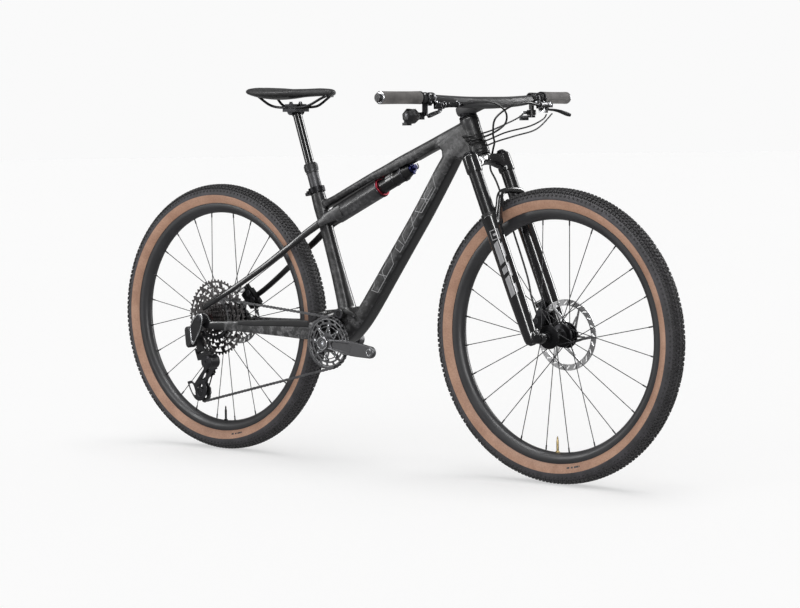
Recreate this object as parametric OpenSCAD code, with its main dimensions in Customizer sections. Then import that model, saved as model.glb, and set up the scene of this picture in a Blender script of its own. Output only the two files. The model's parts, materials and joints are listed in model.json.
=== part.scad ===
// Full-suspension cross-country mountain bike.
// Origin on the ground midway between the axles, +X forward, +Y to the rider's left, +Z up.

/* [Wheels] */
// Distance between the axles
wheelbase = 1149; // [1145:1:1155]
// Outer radius of the tyre over its knobs
tyre_r = 372; // [371:0.5:373]
// Half of the tyre's width
tyre_half_w = 30; // [28:0.5:31]
// Number of spokes in each wheel
spoke_count = 24; // [20:4:28]
// Diameter of a spoke
spoke_d = 2.2; // [1.8:0.1:2.6]
// Radius of the front brake disc
front_disc_r = 90; // [80:10:90]
// Radius of the rear brake disc
rear_disc_r = 80; // [80:1:81]

/* [Frame] */
// Horizontal place of the bottom bracket
bb_x = -142; // [-143:1:-141]
// Height of the bottom bracket above the ground
bb_z = 324; // [323:1:325]
// Head angle from the horizontal
head_angle = 67.5; // [67:0.5:68]
// Distance of the front axle ahead of the steering axis
fork_offset = 44; // [42:1:46]
// Lower end of the head tube above the front axle, along the steering axis
crown_height = 507; // [505:1:509]
// Length of the head tube
head_tube_l = 99; // [95:1:101]
// Outer diameter of the seatpost's outer tube
post_d = 31.6; // [30.9:0.1:31.6]
// Diameter of the seatpost's sliding tube
dropper_d = 25; // [24:0.5:26]

/* [Suspension] */
// Diameter of the fork's inner legs
stanchion_d = 35; // [34:0.5:35]
// Distance of each fork leg from the middle
leg_y = 67; // [66:1:68]
// Diameter of the fixed tube inside the frame's shock sleeve
strut_d = 38; // [36:0.5:38]
// Outer diameter of the sliding shock sleeve
sleeve_d = 50; // [49:0.5:51]

/* [Drivetrain] */
// Teeth on the chainring
ring_teeth = 34; // [32:2:34]
// Length of a crank arm
crank_l = 170; // [165:2.5:170]
// Teeth on the guide pulley
guide_teeth = 12; // [12:1:12]
// Teeth on the tension pulley
tension_teeth = 14; // [14:1:14]

/* [Cockpit] */
// Half of the handlebar's width
bar_half_w = 392; // [388:1:396]
// Diameter of a grip
grip_d = 32; // [30:1:33]
// Length of a grip
grip_l = 138; // [130:1:142]

/* [Hidden] */
$fn = 48;

rear_axle_p = [-wheelbase / 2, 0, tyre_r];
front_axle_p = [wheelbase / 2, 0, tyre_r];
bb_p = [bb_x, 0, bb_z];
pivot_p = [-112, 0, 402];
steer_tilt = 90 - head_angle;
steer_up = [-sin(steer_tilt), 0, cos(steer_tilt)];
steer_ahead = [cos(steer_tilt), 0, sin(steer_tilt)];
steer_foot = front_axle_p - fork_offset * steer_ahead;
leg_u = 14;
rim_seat_r = 319;
rim_inner_r = 293;
front_disc_y = 42;
rear_disc_y = 58.5;
chain_pitch = 12.7;
ring_y = -52;
cog_y = -42;
cog_teeth = 28;
post_lean = 18.2;
post_foot = [-205.7, 0, 684.5];
strut_lean = 25.5;
strut_mid = [6, 0, 738];
stay_hinge = [-190, 0, 640];
strut_bolt_p = [-171, 0, 669];
bottle_bolts = [[91.9, 0, 614.5], [54.5, 0, 562.5]];
port_points = [[302, -22, 871], [311.5, -22, 862], [321, -22, 852.5]];
cage_pivot = [-562, -42, 252];
guide_c = [-590, -42, 236];
tension_c = [-622, -42, 162];

// ---- shared shapes ----

function unit(v) = v / norm(v);
function sgn_pow(x, p) = sign(x) * pow(abs(x), p);
function spline_at(a, b, c, d, t) =
    0.5 * (2 * b + (c - a) * t + (2 * a - 5 * b + 4 * c - d) * t * t
        + (3 * b - a - 3 * c + d) * t * t * t);
function smooth(s, n) = concat(
    [for (i = [0 : len(s) - 2]) for (k = [0 : n - 1])
        spline_at(s[max(i - 1, 0)], s[i], s[i + 1], s[min(i + 2, len(s) - 1)], k / n)],
    [s[len(s) - 1]]
);
function place(s) = [s[0], s[1], s[2]];
function along(s, i) = unit(place(s[min(i + 1, len(s) - 1)]) - place(s[max(i - 1, 0)]));
function section(s, t, ref, m) =
    let (e1 = unit(ref - t * (ref * t)), e2 = cross(t, e1))
    [for (k = [0 : m - 1])
        place(s) + e1 * s[3] * sgn_pow(cos(360 * k / m), 2 / s[5])
            + e2 * s[4] * sgn_pow(sin(360 * k / m), 2 / s[5])];

// A tube through stations [x, y, z, half width along ref, half depth, squareness].
module loft(stations, ref = [0, 1, 0], sides = 16, steps = 2) {
    s = smooth(stations, steps);
    n = len(s);
    points = [for (i = [0 : n - 1]) each section(s[i], along(s, i), ref, sides)];
    sheet = [for (i = [0 : n - 2]) for (k = [0 : sides - 1])
        let (a = i * sides + k, b = i * sides + (k + 1) % sides)
        each [[a, a + sides, b + sides], [a, b + sides, b]]];
    polyhedron(
        points,
        concat(sheet, [[for (k = [0 : sides - 1]) k]],
            [[for (k = [sides - 1 : -1 : 0]) (n - 1) * sides + k]]),
        convexity = 4
    );
}

// A cord of one diameter through hand-set points.
module cord(points, d, steps = 2) {
    loft([for (p = points) [p[0], p[1], p[2], d / 2, d / 2, 2]], [0.31, 0.11, 0.94], 8, steps);
}

module on_steering() {
    translate(steer_foot) rotate([0, -steer_tilt, 0]) children();
}
module on_strut() {
    translate(strut_mid) rotate([0, 90 - strut_lean, 0]) children();
}
module on_post() {
    translate(post_foot) rotate([0, -post_lean, 0]) children();
}
module across(r, y0, y1) {
    translate([0, y1, 0]) rotate([90, 0, 0]) cylinder(r = r, h = y1 - y0);
}
module tube_across(r, bore, y0, y1) {
    difference() {
        across(r, y0, y1);
        across(bore, y0 - 1, y1 + 1);
    }
}
module side_plate(points, y0, y1) {
    translate([0, y1, 0]) rotate([90, 0, 0]) linear_extrude(y1 - y0) polygon(points);
}
module both_sides() {
    children();
    mirror([0, 1, 0]) children();
}
// A flat bar between two points of the side view, with round ends.
module link_plate(a, b, ra, rb, y0, y1) {
    d = b - a;
    l = norm(d);
    t = atan2(d[1], d[0]);
    lean = asin((ra - rb) / l);
    p = [for (q = [t + 90 - lean, t - 90 + lean]) [cos(q), sin(q)]];
    side_plate([a + ra * p[0], b + rb * p[0], b + rb * p[1], a + ra * p[1]], y0, y1);
    translate([a[0], 0, a[1]]) across(ra, y0, y1);
    translate([b[0], 0, b[1]]) across(rb, y0, y1);
}
function gear_points(teeth, root, tip) = [
    for (i = [0 : teeth - 1]) each
        [for (q = [[0.12, root], [0.38, root], [0.60, tip], [0.90, tip]])
            let (a = 360 * (i + q[0]) / teeth) [q[1] * cos(a), q[1] * sin(a)]]
];
function pitch_r(teeth) = chain_pitch / 2 / sin(180 / teeth);
module gear_plate(teeth, y0, y1, phase = 0) {
    translate([0, y1, 0]) rotate([90, 0, 0]) rotate(phase)
        linear_extrude(y1 - y0)
            polygon(gear_points(teeth, pitch_r(teeth) - 4, pitch_r(teeth) + 3));
}

// ---- frame ----

down_tube_path = [
    [264, 0, 841, 23, 20, 3.6], [226, 0, 786, 25, 21, 4], [155, 0, 681, 26, 21, 4],
    [98, 0, 602, 26, 21, 4], [39, 0, 521, 27, 21, 4], [-20, 0, 440, 28, 21, 4],
    [-50, 0, 401, 29, 21, 4], [-78, 0, 371, 30, 22, 4], [-109, 0, 345, 32, 22, 4],
    [-146, 0, 327, 34, 20, 4]
];
top_tube_path = [
    [-186, 0, 692, 18, 12, 3], [-150, 0, 706, 22, 10, 3.2], [-100, 0, 728, 25, 10, 3.4],
    [-59, 0, 746.5, 25, 10.5, 3.4], [-10, 0, 768, 24, 12, 3.4], [40, 0, 787, 22, 15, 3.4],
    [80, 0, 804, 21, 16.5, 3.4], [120, 0, 821.5, 20, 16, 3.4], [187, 0, 850, 20, 15.5, 3.4],
    [235, 0, 869, 21, 17, 3.4], [284, 0, 886, 22, 21, 3.4]
];
seat_tube_path = [
    [-86, 0, 382, 26, 24, 3.4], [-113, 0, 404, 25, 21, 3.4], [-124, 0, 435, 22, 20, 3],
    [-150, 0, 515, 18, 18.5, 2.6], [-183, 0, 615, 17.5, 18, 2.2], [-205.7, 0, 684.5, 19, 20, 2.2],
    [-218, 0, 722, 19, 19, 2]
];

module front_triangle() {
    color([0.07, 0.07, 0.08])
    difference() {
        union() {
            loft(down_tube_path, sides = 16, steps = 2);
            loft(top_tube_path, sides = 16, steps = 2);
            loft(seat_tube_path, sides = 16, steps = 2);
            side_plate([[205, 850], [227, 836], [231, 800], [252, 797], [300, 838], [322, 868],
                [300, 900], [262, 884]], -19, 19);
            on_steering() translate([0, 0, crown_height + 2]) cylinder(r = 24.5, h = head_tube_l);
            translate(bb_p) across(25, -36.5, 36.5);
            translate(pivot_p) across(15, -26, 26);
        }
        on_steering() translate([0, 0, crown_height - 5]) cylinder(r = 20.95, h = head_tube_l + 20);
        translate(bb_p) across(20.5, -60, 60);
        translate(pivot_p) across(7.5, -60, 60);
        on_post() translate([0, 0, -180]) cylinder(d = post_d + 0.02, h = 300);
        on_post() translate([-30, -1, 10]) cube([30, 2, 60]);
        on_strut() translate([0, 0, -205]) cylinder(d = strut_d + 0.02, h = 145);
        on_strut() translate([0, 0, -174]) cylinder(r = sleeve_d / 2 + 3.2, h = 228);
        on_strut() translate([0, 0, 50]) cylinder(r = 20.5, h = 92);
        translate(strut_bolt_p) across(2.8, -40, 40);
        for (p = bottle_bolts) translate(p) rotate([0, -54.3, 0]) cylinder(r = 2.5, h = 30);
    }
}
module frame_bearings() {
    color([0.35, 0.36, 0.38]) {
        on_steering() for (z = [crown_height + 2, crown_height + head_tube_l - 5.2])
            translate([0, 0, z]) difference() {
                cylinder(r = 20.93, h = 7);
                translate([0, 0, -1]) cylinder(r = 14.35, h = 9);
            }
        translate(bb_p) both_sides() {
            tube_across(20.48, 14.55, 24, 36.5);
            tube_across(23, 14.55, 36.5, 46);
        }
    }
}
module seat_clamp() {
    color([0.05, 0.05, 0.05]) on_post() difference() {
        union() {
            translate([0, 0, 41]) cylinder(r = 22.5, h = 14);
            translate([-30, -10, 41]) cube([14, 20, 12]);
            translate([-40, -5, 43]) cube([14, 10, 8]);
        }
        translate([0, 0, 40]) cylinder(r = 19.6, h = 16);
        translate([0, 0, 40]) cylinder(r = 15.9, h = 20);
        translate([-24, 0, 47]) rotate([90, 0, 0]) cylinder(r = 2.6, h = 40, center = true);
    }
}
module seatpost_outer() {
    color([0.09, 0.09, 0.1]) on_post() difference() {
        union() {
            translate([0, 0, -150]) cylinder(d = post_d, h = 258);
            translate([0, 0, 102]) cylinder(r = 18.6, h = 16);
        }
        translate([0, 0, -142]) cylinder(r = dropper_d / 2 + 0.05, h = 300);
    }
}
module strut_tube() {
    color([0.06, 0.06, 0.07]) {
        on_strut() difference() {
            union() {
                translate([0, 0, -196]) cylinder(d = strut_d, h = 290);
                translate([0, 0, 94]) cylinder(r1 = 19, r2 = 14, h = 22);
            }
            translate([0, 0, -150]) cylinder(r = 15, h = 230);
        }
        on_strut() translate([-30, -9, 62]) cube([14, 18, 26]);
    }
}
module strut_spool() {
    color([0.15, 0.13, 0.4]) on_strut() translate([0, 0, 124]) difference() {
        union() {
            translate([0, 0, -7]) cylinder(r = 12, h = 6);
            translate([0, 0, -1]) cylinder(r = 7, h = 9);
            translate([4, -3, -6]) cube([12, 6, 4]);
        }
        translate([0, 0, 3]) cylinder(r = 2.5, h = 10);
    }
}
module frame_fittings() {
    color([0.12, 0.12, 0.12]) {
        translate(strut_bolt_p) {
            across(2.78, -19.5, 19.5);
            both_sides() across(4.6, 19.5, 22);
        }
        for (p = port_points) translate(p) rotate([90, 0, 35]) difference() {
            cylinder(r = 4.8, h = 9);
            translate([0, 0, 2]) cylinder(r = 2.7, h = 12);
        }
    }
}
module pivot_axle() {
    color([0.3, 0.3, 0.32]) translate(pivot_p) difference() {
        union() {
            across(7.5, -44, 44);
            across(11, 44.4, 47.5);
            across(7.5, 44, 44.5);
        }
        across(3, 30, 60);
        across(3, -60, -30);
    }
}

// ---- chain ----

cog_r = pitch_r(cog_teeth);
ring_r = pitch_r(ring_teeth);
guide_r = pitch_r(guide_teeth);
tension_r = pitch_r(tension_teeth);
function flat(p) = [p[0], p[2]];
// Directions, measured in the side view, of the normal at which a straight run leaves a wheel:
// same_side for a run that keeps to one side of both wheels, cross_over for one that changes side.
function same_side(a, b, ra, rb, s) =
    let (d = b - a) atan2(d[1], d[0]) + s * acos((ra - rb) / norm(d));
function cross_over(a, b, ra, rb, s) =
    let (d = b - a) atan2(d[1], d[0]) + s * acos((ra + rb) / norm(d));
top_run_n = same_side(flat(bb_p), flat(rear_axle_p), ring_r, cog_r, -1);
low_run_n = same_side(flat(bb_p), flat(tension_c), ring_r, tension_r, 1);
pulley_run_n = cross_over(flat(tension_c), flat(guide_c), tension_r, guide_r, 1);
cog_run_n = cross_over(flat(rear_axle_p), flat(guide_c), cog_r, guide_r, -1);
// Each wrap runs this many degrees past the points where the straight runs leave it.
wrap_overlap = 2;
module chain_run(a, ra, na, ya, b, rb, nb, yb) {
    p = [a[0] + ra * cos(na), ya, a[1] + ra * sin(na)];
    q = [b[0] + rb * cos(nb), yb, b[1] + rb * sin(nb)];
    d = q - p;
    l = norm(d);
    translate(p) rotate([0, -asin(d[2] / l), atan2(d[1], d[0])])
        for (side = [-1, 1]) translate([0, side * 1.9 - 0.5, -3.5]) cube([l, 1, 7]);
}
module chain_wrap(c, r, y, from, to) {
    for (side = [-1, 1]) translate([c[0], y + side * 1.9 + 0.6, c[1]]) rotate([90, 0, 0])
        rotate([0, 0, from - wrap_overlap]) rotate_extrude(angle = to - from + 2 * wrap_overlap)
            translate([r - 3.7, 0]) square([7.4, 1.2]);
}
module chain() {
    ring_c = flat(bb_p);
    cog_c = flat(rear_axle_p);
    low_c = flat(tension_c);
    top_c = flat(guide_c);
    color([0.12, 0.12, 0.13]) {
        chain_run(ring_c, ring_r, top_run_n, ring_y, cog_c, cog_r, top_run_n, cog_y);
        chain_run(ring_c, ring_r, low_run_n, ring_y, low_c, tension_r, low_run_n, cog_y);
        chain_run(low_c, tension_r, pulley_run_n, cog_y, top_c, guide_r, pulley_run_n + 180, cog_y);
        chain_run(cog_c, cog_r, cog_run_n, cog_y, top_c, guide_r, cog_run_n + 180, cog_y);
        chain_wrap(ring_c, ring_r, ring_y, low_run_n - 360, top_run_n);
        chain_wrap(cog_c, cog_r, cog_y, top_run_n, cog_run_n);
        chain_wrap(low_c, tension_r, cog_y, pulley_run_n, low_run_n);
        chain_wrap(top_c, guide_r, cog_y, cog_run_n + 180 - 360, pulley_run_n - 180);
    }
}

// ---- saddle and sliding post ----

module dropper_shaft() {
    color([0.02, 0.02, 0.02]) on_post() union() {
        translate([0, 0, -12]) cylinder(d = dropper_d, h = 277);
        translate([0, 0, 262]) cylinder(r = 14.5, h = 12);
    }
}
seat_c = [-293, 0, 957];
module saddle_clamp() {
    color([0.08, 0.08, 0.09]) translate(seat_c) {
        difference() {
            translate([-24, -27, -15.5]) cube([48, 54, 9]);
            translate([0, 0, -20]) cylinder(r = 8, h = 6);
        }
        for (x = [-17, 17]) translate([x, 0, -22]) cylinder(r = 2.6, h = 34);
        for (x = [-17, 17]) translate([x, 0, 4.2]) cylinder(r = 5, h = 5);
        difference() {
            translate([-15, -27, 0.4]) cube([30, 54, 5]);
            for (x = [-17, 17]) translate([x, 0, -2]) cylinder(r = 2.7, h = 10);
        }
    }
}
module saddle_rails() {
    color([0.5, 0.5, 0.52]) both_sides() loft([
        [-174, 8, 983, 3.5, 3.5, 2], [-192, 14, 975, 3.5, 3.5, 2], [-225, 20, 959, 3.5, 3.5, 2],
        [-250, 22, 954, 3.5, 3.5, 2], [-335, 22, 954, 3.5, 3.5, 2], [-365, 26, 961, 3.5, 3.5, 2],
        [-392, 34, 980, 3.5, 3.5, 2], [-402, 38, 989, 3.5, 3.5, 2]
    ], ref = [0.2, 0.9, 0.4], sides = 10, steps = 2);
}
saddle_path = [
    [-159, 0, 990, 12, 7, 2.6], [-172, 0, 992, 18, 9.5, 2.6], [-215, 0, 993, 20, 11, 2.6],
    [-265, 0, 992, 27, 12, 2.4], [-310, 0, 990, 45, 14, 2.2], [-350, 0, 990.5, 63, 16, 2.2],
    [-385, 0, 993, 69, 15, 2.3], [-415, 0, 997, 64, 12, 2.4], [-430, 0, 999, 50, 8, 2.4]
];
module saddle_shell() {
    color([0.05, 0.05, 0.05]) intersection() {
        loft(saddle_path, sides = 20, steps = 2);
        union() {
            translate([-440, -80, 960]) cube([300, 160, 25.5]);
            translate([-410, -42, 985]) cube([16, 84, 6]);
        }
    }
}
module saddle_cover() {
    color([0.06, 0.06, 0.06]) difference() {
        loft(saddle_path, sides = 20, steps = 2);
        translate([-440, -80, 960]) cube([300, 160, 25.8]);
        translate([-411, -43, 985]) cube([18, 86, 6.3]);
    }
}

// ---- steering ----

module fork_crown() {
    color([0.03, 0.03, 0.035]) on_steering() difference() {
        union() {
            translate([0, 0, crown_height - 12]) cylinder(r = 14.3, h = head_tube_l + 40);
            translate([0, 0, crown_height - 22]) cylinder(r = 22, h = 23);
            for (s = [-1, 1]) translate([leg_u, s * leg_y, 455]) cylinder(r = 20.5, h = 46);
            loft([
                [leg_u, -leg_y, 478, 17, 18, 3], [leg_u, -48, 484, 16, 18, 3],
                [9, -26, 492, 17, 13.5, 3], [2, 0, 495, 21, 11.2, 3], [9, 26, 492, 17, 13.5, 3],
                [leg_u, 48, 484, 16, 18, 3], [leg_u, leg_y, 478, 17, 18, 3]
            ], ref = [1, 0, 0], sides = 16, steps = 2);
        }
        for (s = [-1, 1]) translate([leg_u, s * leg_y, 440]) cylinder(d = stanchion_d + 0.02, h = 80);
        translate([0, 0, 470]) cylinder(r = 11, h = 200);
    }
}
module fork_stanchions() {
    color([0.02, 0.02, 0.02]) on_steering() for (s = [-1, 1])
        translate([leg_u, s * leg_y, 190]) difference() {
            cylinder(d = stanchion_d, h = 300);
            translate([0, 0, -1]) cylinder(d = stanchion_d - 5, h = 290);
        }
}
module steering_caps() {
    color([0.07, 0.07, 0.075]) on_steering() {
        for (s = [-1, 1]) translate([leg_u, s * leg_y, 490.2]) difference() {
            union() {
                cylinder(d = stanchion_d, h = 11.3);
                translate([0, 0, 11.3]) cylinder(r = 13, h = 5);
            }
            translate([0, 0, 14]) cylinder(r = 5, h = 3);
        }
        translate([0, 0, crown_height + head_tube_l + 2.4]) difference() {
            cylinder(r1 = 24, r2 = 19, h = 8);
            translate([0, 0, -1]) cylinder(r = 14.32, h = 10);
        }
        translate([0, 0, crown_height + head_tube_l + 10.6]) difference() {
            cylinder(r = 18.5, h = 9);
            translate([0, 0, -1]) cylinder(r = 14.32, h = 11);
        }
        translate([0, 0, 651]) cylinder(r = 15, h = 4);
    }
}
bar_path = [
    [329, -bar_half_w + 4, 970, 11.1, 11.1, 2], [333, -360, 969.5, 11.1, 11.1, 2],
    [339, -310, 969, 11.1, 11.1, 2], [345, -260, 968, 11.1, 11.1, 2],
    [351, -205, 966, 12, 11.5, 2.1], [357, -150, 962, 15, 13, 2.3], [359, -95, 959, 20, 14, 2.5],
    [355, -45, 957.5, 27, 15, 2.6], [353, 0, 957, 29, 15.5, 2.6], [355, 45, 957.5, 27, 15, 2.6],
    [359, 95, 959, 20, 14, 2.5], [357, 150, 962, 15, 13, 2.3], [351, 205, 966, 12, 11.5, 2.1],
    [345, 260, 968, 11.1, 11.1, 2], [339, 310, 969, 11.1, 11.1, 2],
    [333, 360, 969.5, 11.1, 11.1, 2], [329, bar_half_w - 4, 970, 11.1, 11.1, 2]
];
module handlebar() {
    color([0.09, 0.09, 0.1]) difference() {
        union() {
            loft(bar_path, ref = [1, 0, 0], sides = 16, steps = 2);
            loft([
                [356, 0, 958, 27, 14, 3], [335, 0, 955, 24, 16, 3], [312, 0, 948, 21, 18, 3],
                [290, 0, 940, 20, 18, 3], [272, 0, 934, 16, 13, 3]
            ], sides = 16, steps = 2);
            on_steering() translate([0, 0, 626.2]) cylinder(r = 19.5, h = 24.6);
        }
        on_steering() translate([0, 0, 600]) cylinder(r = 14.34, h = 46.5);
        on_steering() translate([0, 0, 600]) cylinder(r = 24.6, h = 26.3);
        on_steering() translate([0, 0, 650.9]) cylinder(r = 15.3, h = 30);
    }
}
module grips() {
    color([0.36, 0.36, 0.36]) both_sides() {
        difference() {
            grip_on_bar(grip_d / 2, 8.5, grip_l);
            grip_on_bar(11.5, 5, grip_l + 20);
        }
        grip_on_bar(11, 0, 7);
    }
}
bar_end = [328.6, bar_half_w, 970];
bar_sweep = 6.9;
module grip_on_bar(r, start, l) {
    translate(bar_end) rotate([90, 0, bar_sweep]) translate([0, 0, start - 4]) cylinder(r = r, h = l);
}
module on_bar(y, side) {
    x = 328.6 + (bar_half_w - y) * tan(bar_sweep);
    translate([x, side * y, 968.5]) rotate([0, 0, -side * bar_sweep]) children();
}
module bar_clamp(side, w) {
    rotate([90, 0, 0]) difference() {
        union() {
            cylinder(r = 15, h = w, center = true);
            translate([6, -19, -w / 2]) cube([12, 12, w]);
        }
        cylinder(r = 11.9, h = w + 2, center = true);
    }
}
module brake_body(side) {
    color([0.05, 0.05, 0.055]) on_bar(216, side) {
        difference() {
            union() {
                bar_clamp(side, 12);
                translate([12, -6, -27]) cube([26, 12, 16]);
                translate([28, side * 12 - 11, -24.5]) cube([18, 22, 13]);
                translate([42, side * 12, -16.3]) rotate([side * 90, 0, side * 14]) {
                    translate([0, 0, -3]) cylinder(r = 8, h = 58);
                    translate([0, 0, 55]) cylinder(r = 5, h = 8);
                }
            }
            rotate([90, 0, 0]) cylinder(r = 11.9, h = 20, center = true);
            translate([35, side * 12, -40]) cylinder(r = 2.52, h = 30);
        }
    }
}
module brake_lever(side) {
    color([0.1, 0.1, 0.11]) on_bar(216, side) {
        translate([35, side * 12, -31]) cylinder(r = 5.6, h = 6.2);
        translate([35, side * 12, -31]) cylinder(r = 2.45, h = 18);
        loft([
            [37, side * 15, -30, 4.5, 3, 3], [44, side * 28, -31, 5, 3.2, 3],
            [49, side * 42, -34, 5, 4, 3], [48, side * 60, -38, 5.5, 5, 3],
            [47, side * 76, -42, 5.5, 5.5, 2.6], [48, side * 88, -45, 4.5, 4.5, 2.2]
        ], ref = [1, 0, 0], sides = 12, steps = 2);
    }
}
module brake_body_right() { brake_body(-1); }
module brake_body_left() { brake_body(1); }
module brake_lever_right() { brake_lever(-1); }
module brake_lever_left() { brake_lever(1); }
pod_p = [342, -283, 925];
module shifter_body() {
    color([0.04, 0.04, 0.045]) {
        on_bar(235, -1) difference() {
            union() {
                bar_clamp(-1, 9);
                translate([-7, -4.5, -44]) cube([14, 9, 32]);
            }
            rotate([90, 0, 0]) cylinder(r = 11.9, h = 20, center = true);
        }
        difference() {
            union() {
                translate(pod_p) across(19, -20, 22);
                translate(pod_p) translate([-7, 20, -10]) cube([14, 26, 20]);
            }
            translate(pod_p) translate([-24, -8, -30]) cube([22, 20, 24]);
        }
    }
}
module shift_paddle() {
    color([0.08, 0.08, 0.085]) translate(pod_p) difference() {
        union() {
            translate([-10, 2, -14]) across(4.6, -9.6, 9.6);
            translate([-22, -7.6, -23]) cube([14, 19.2, 7]);
            translate([-17, -7.6, -20]) cube([8, 19.2, 8]);
        }
        translate([-10, 2, -14]) across(1.5, -12, 12);
    }
}
remote_c = [1, 0, -44];
lockout_c = [10, 0, -32];
lockout_y = 242;
module remote_body() {
    color([0.05, 0.05, 0.055]) {
        on_bar(200, 1) difference() {
            union() {
                bar_clamp(1, 9);
                translate([-4, -4.5, -34]) cube([10, 9, 22]);
            }
            rotate([90, 0, 0]) cylinder(r = 12.2, h = 20, center = true);
        }
        on_bar(200, 1) translate(remote_c) {
            difference() {
                cylinder(r = 12, h = 14);
                translate([0, 0, -1]) cylinder(r = 4, h = 20);
            }
            translate([-4, -26, 3]) cube([8, 16, 8]);
        }
        on_bar(lockout_y, 1) difference() {
            union() {
                bar_clamp(1, 8);
                translate([2, -4, -24]) cube([14, 8, 14]);
                translate(lockout_c) translate([0, 0, 0.5]) cylinder(r = 9, h = 15);
            }
            rotate([90, 0, 0]) cylinder(r = 12.2, h = 20, center = true);
            translate(lockout_c) translate([0, 0, -4]) cylinder(r = 3, h = 30);
        }
    }
}
module remote_lever() {
    color([0.1, 0.1, 0.11]) on_bar(200, 1) translate(remote_c) {
        translate([0, 0, -6]) cylinder(r = 10, h = 5.6);
        translate([0, 0, -6]) cylinder(r = 3.95, h = 15);
        translate([-34, -6, -5.5]) cube([32, 11, 5]);
        translate([-38, -6, -13]) cube([7, 28, 12.5]);
    }
}
module lockout_lever() {
    color([0.55, 0.55, 0.57]) on_bar(lockout_y, 1) translate(lockout_c) {
        translate([0, 0, -5]) cylinder(r = 8, h = 5.1);
        translate([0, 0, -5]) cylinder(r = 2.95, h = 20);
        translate([4, -5, -5]) cube([12, 10, 5]);
        translate([11, -5, -6]) cube([6, 10, 16]);
    }
}

// ---- hoses and cables ----

rear_hose_route = [
    [402, -159, 951.5], [407, -110, 957], [409, -40, 957], [403, 20, 935], [386, 43, 905],
    [368, 20, 882], [352, -18, 868], [334, -38, 863], [315, -28, 862]
];
front_hose_route = [
    [402, 159, 951.5], [414, 100, 957], [417, 25, 947], [402, -20, 917], [382, -4, 879],
    [354, 38, 856], [338, 52, 835], [331, 50, 790], [360, 50, 735], [440, 50, 535],
    [462, 46, 465], [482, 41.5, 421]
];
shock_cable_route = [
    [366, 248, 926], [371, 224, 913], [375, 160, 896], [366, 70, 881], [355, 6, 862],
    [343, -37, 855], [323, -25, 852.5]
];
post_cable_route = [
    [349.5, 172.5, 931], [354, 140, 918], [362, 70, 901], [362, 2, 884], [335, -40, 873],
    [305, -26, 871]
];
shock_end_route = [
    [132, -3, 803], [134, 0, 794], [129.4, 1.3, 788]
];
fork_cable_route = [
    [374, 262, 928], [388, 175, 889], [392, 75, 872], [388, -5, 857], [371, -60, 836.5]
];
module rear_brake_hose() { color("black") cord(rear_hose_route, 5, 2); }
module front_brake_hose() { color("black") cord(front_hose_route, 5, 2); }
module frame_cables() {
    color("black") {
        cord(shock_cable_route, 4, 2);
        cord(post_cable_route, 4, 2);
        cord(shock_end_route, 3, 2);
    }
}
module fork_cable() { color("black") cord(fork_cable_route, 4, 2); }

// ---- fork lowers ----

module fork_lowers() {
    color([0.03, 0.03, 0.035]) on_steering() difference() {
        union() {
            for (s = [-1, 1]) {
                translate([leg_u, s * leg_y, 0]) cylinder(r1 = 17.5, r2 = 21.5, h = 120);
                translate([leg_u, s * leg_y, 120]) cylinder(r = 21.5, h = 200);
                translate([leg_u, s * leg_y, 320]) cylinder(r1 = 21.5, r2 = 23, h = 18);
                translate([fork_offset, s * 67, 0]) rotate([90, 0, 0])
                    cylinder(r = 13, h = 22, center = true);
                translate([leg_u, s * 67 - 11, -8]) cube([fork_offset - leg_u, 22, 22]);
            }
            loft([
                [34, -62, 322, 9, 10, 3], [44, -57, 350, 8.5, 8, 3], [50, -50, 374, 9, 7, 3],
                [53, -34, 387.5, 9, 8, 3], [54, 0, 389, 9, 8, 3], [53, 34, 387.5, 9, 8, 3],
                [50, 50, 374, 9, 7, 3], [44, 57, 350, 8.5, 8, 3], [34, 62, 322, 9, 10, 3]
            ], ref = [1, 0, 0], sides = 14, steps = 2);
            for (z = [32, 96]) translate([-24, 47, z]) cube([24, 11, 16]);
        }
        for (s = [-1, 1]) {
            translate([leg_u, s * leg_y, 70]) cylinder(d = stanchion_d + 0.12, h = 300);
            translate([leg_u, s * leg_y, 328]) cylinder(r = 19.5, h = 20);
        }
        translate([fork_offset, 0, 0]) rotate([90, 0, 0]) cylinder(r = 7.52, h = 200, center = true);
    }
}
module front_axle() {
    color([0.1, 0.1, 0.1]) on_steering() translate([fork_offset, 0, 0]) difference() {
        union() {
            across(7.5, -79, 79);
            across(10.5, -84, -78.3);
        }
        across(3.5, -90, -60);
    }
}
module disc_caliper(r) {
    difference() {
        union() {
            translate([-r - 8, -14, -26]) cube([30, 28, 52]);
            translate([-r - 12, -9, -38]) cube([16, 10, 76]);
        }
        translate([-r - 4, -2.4, -80]) cube([60, 4.8, 160]);
        for (z = [-32, 32]) translate([-r - 4, 0, z]) rotate([90, 0, 0]) cylinder(r = 2.6, h = 40, center = true);
    }
    for (s = [-1, 1]) translate([-r + 3, s * 1.75 - 0.65, -14]) cube([16, 1.3, 28]);
}
module front_caliper() {
    color([0.06, 0.06, 0.065]) on_steering() difference() {
        translate([fork_offset, front_disc_y, 0]) rotate([0, 50, 0]) disc_caliper(front_disc_r);
        translate([leg_u, leg_y, 0]) cylinder(d = stanchion_d + 2, h = 200);
    }
}

// ---- wheels ----

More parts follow.
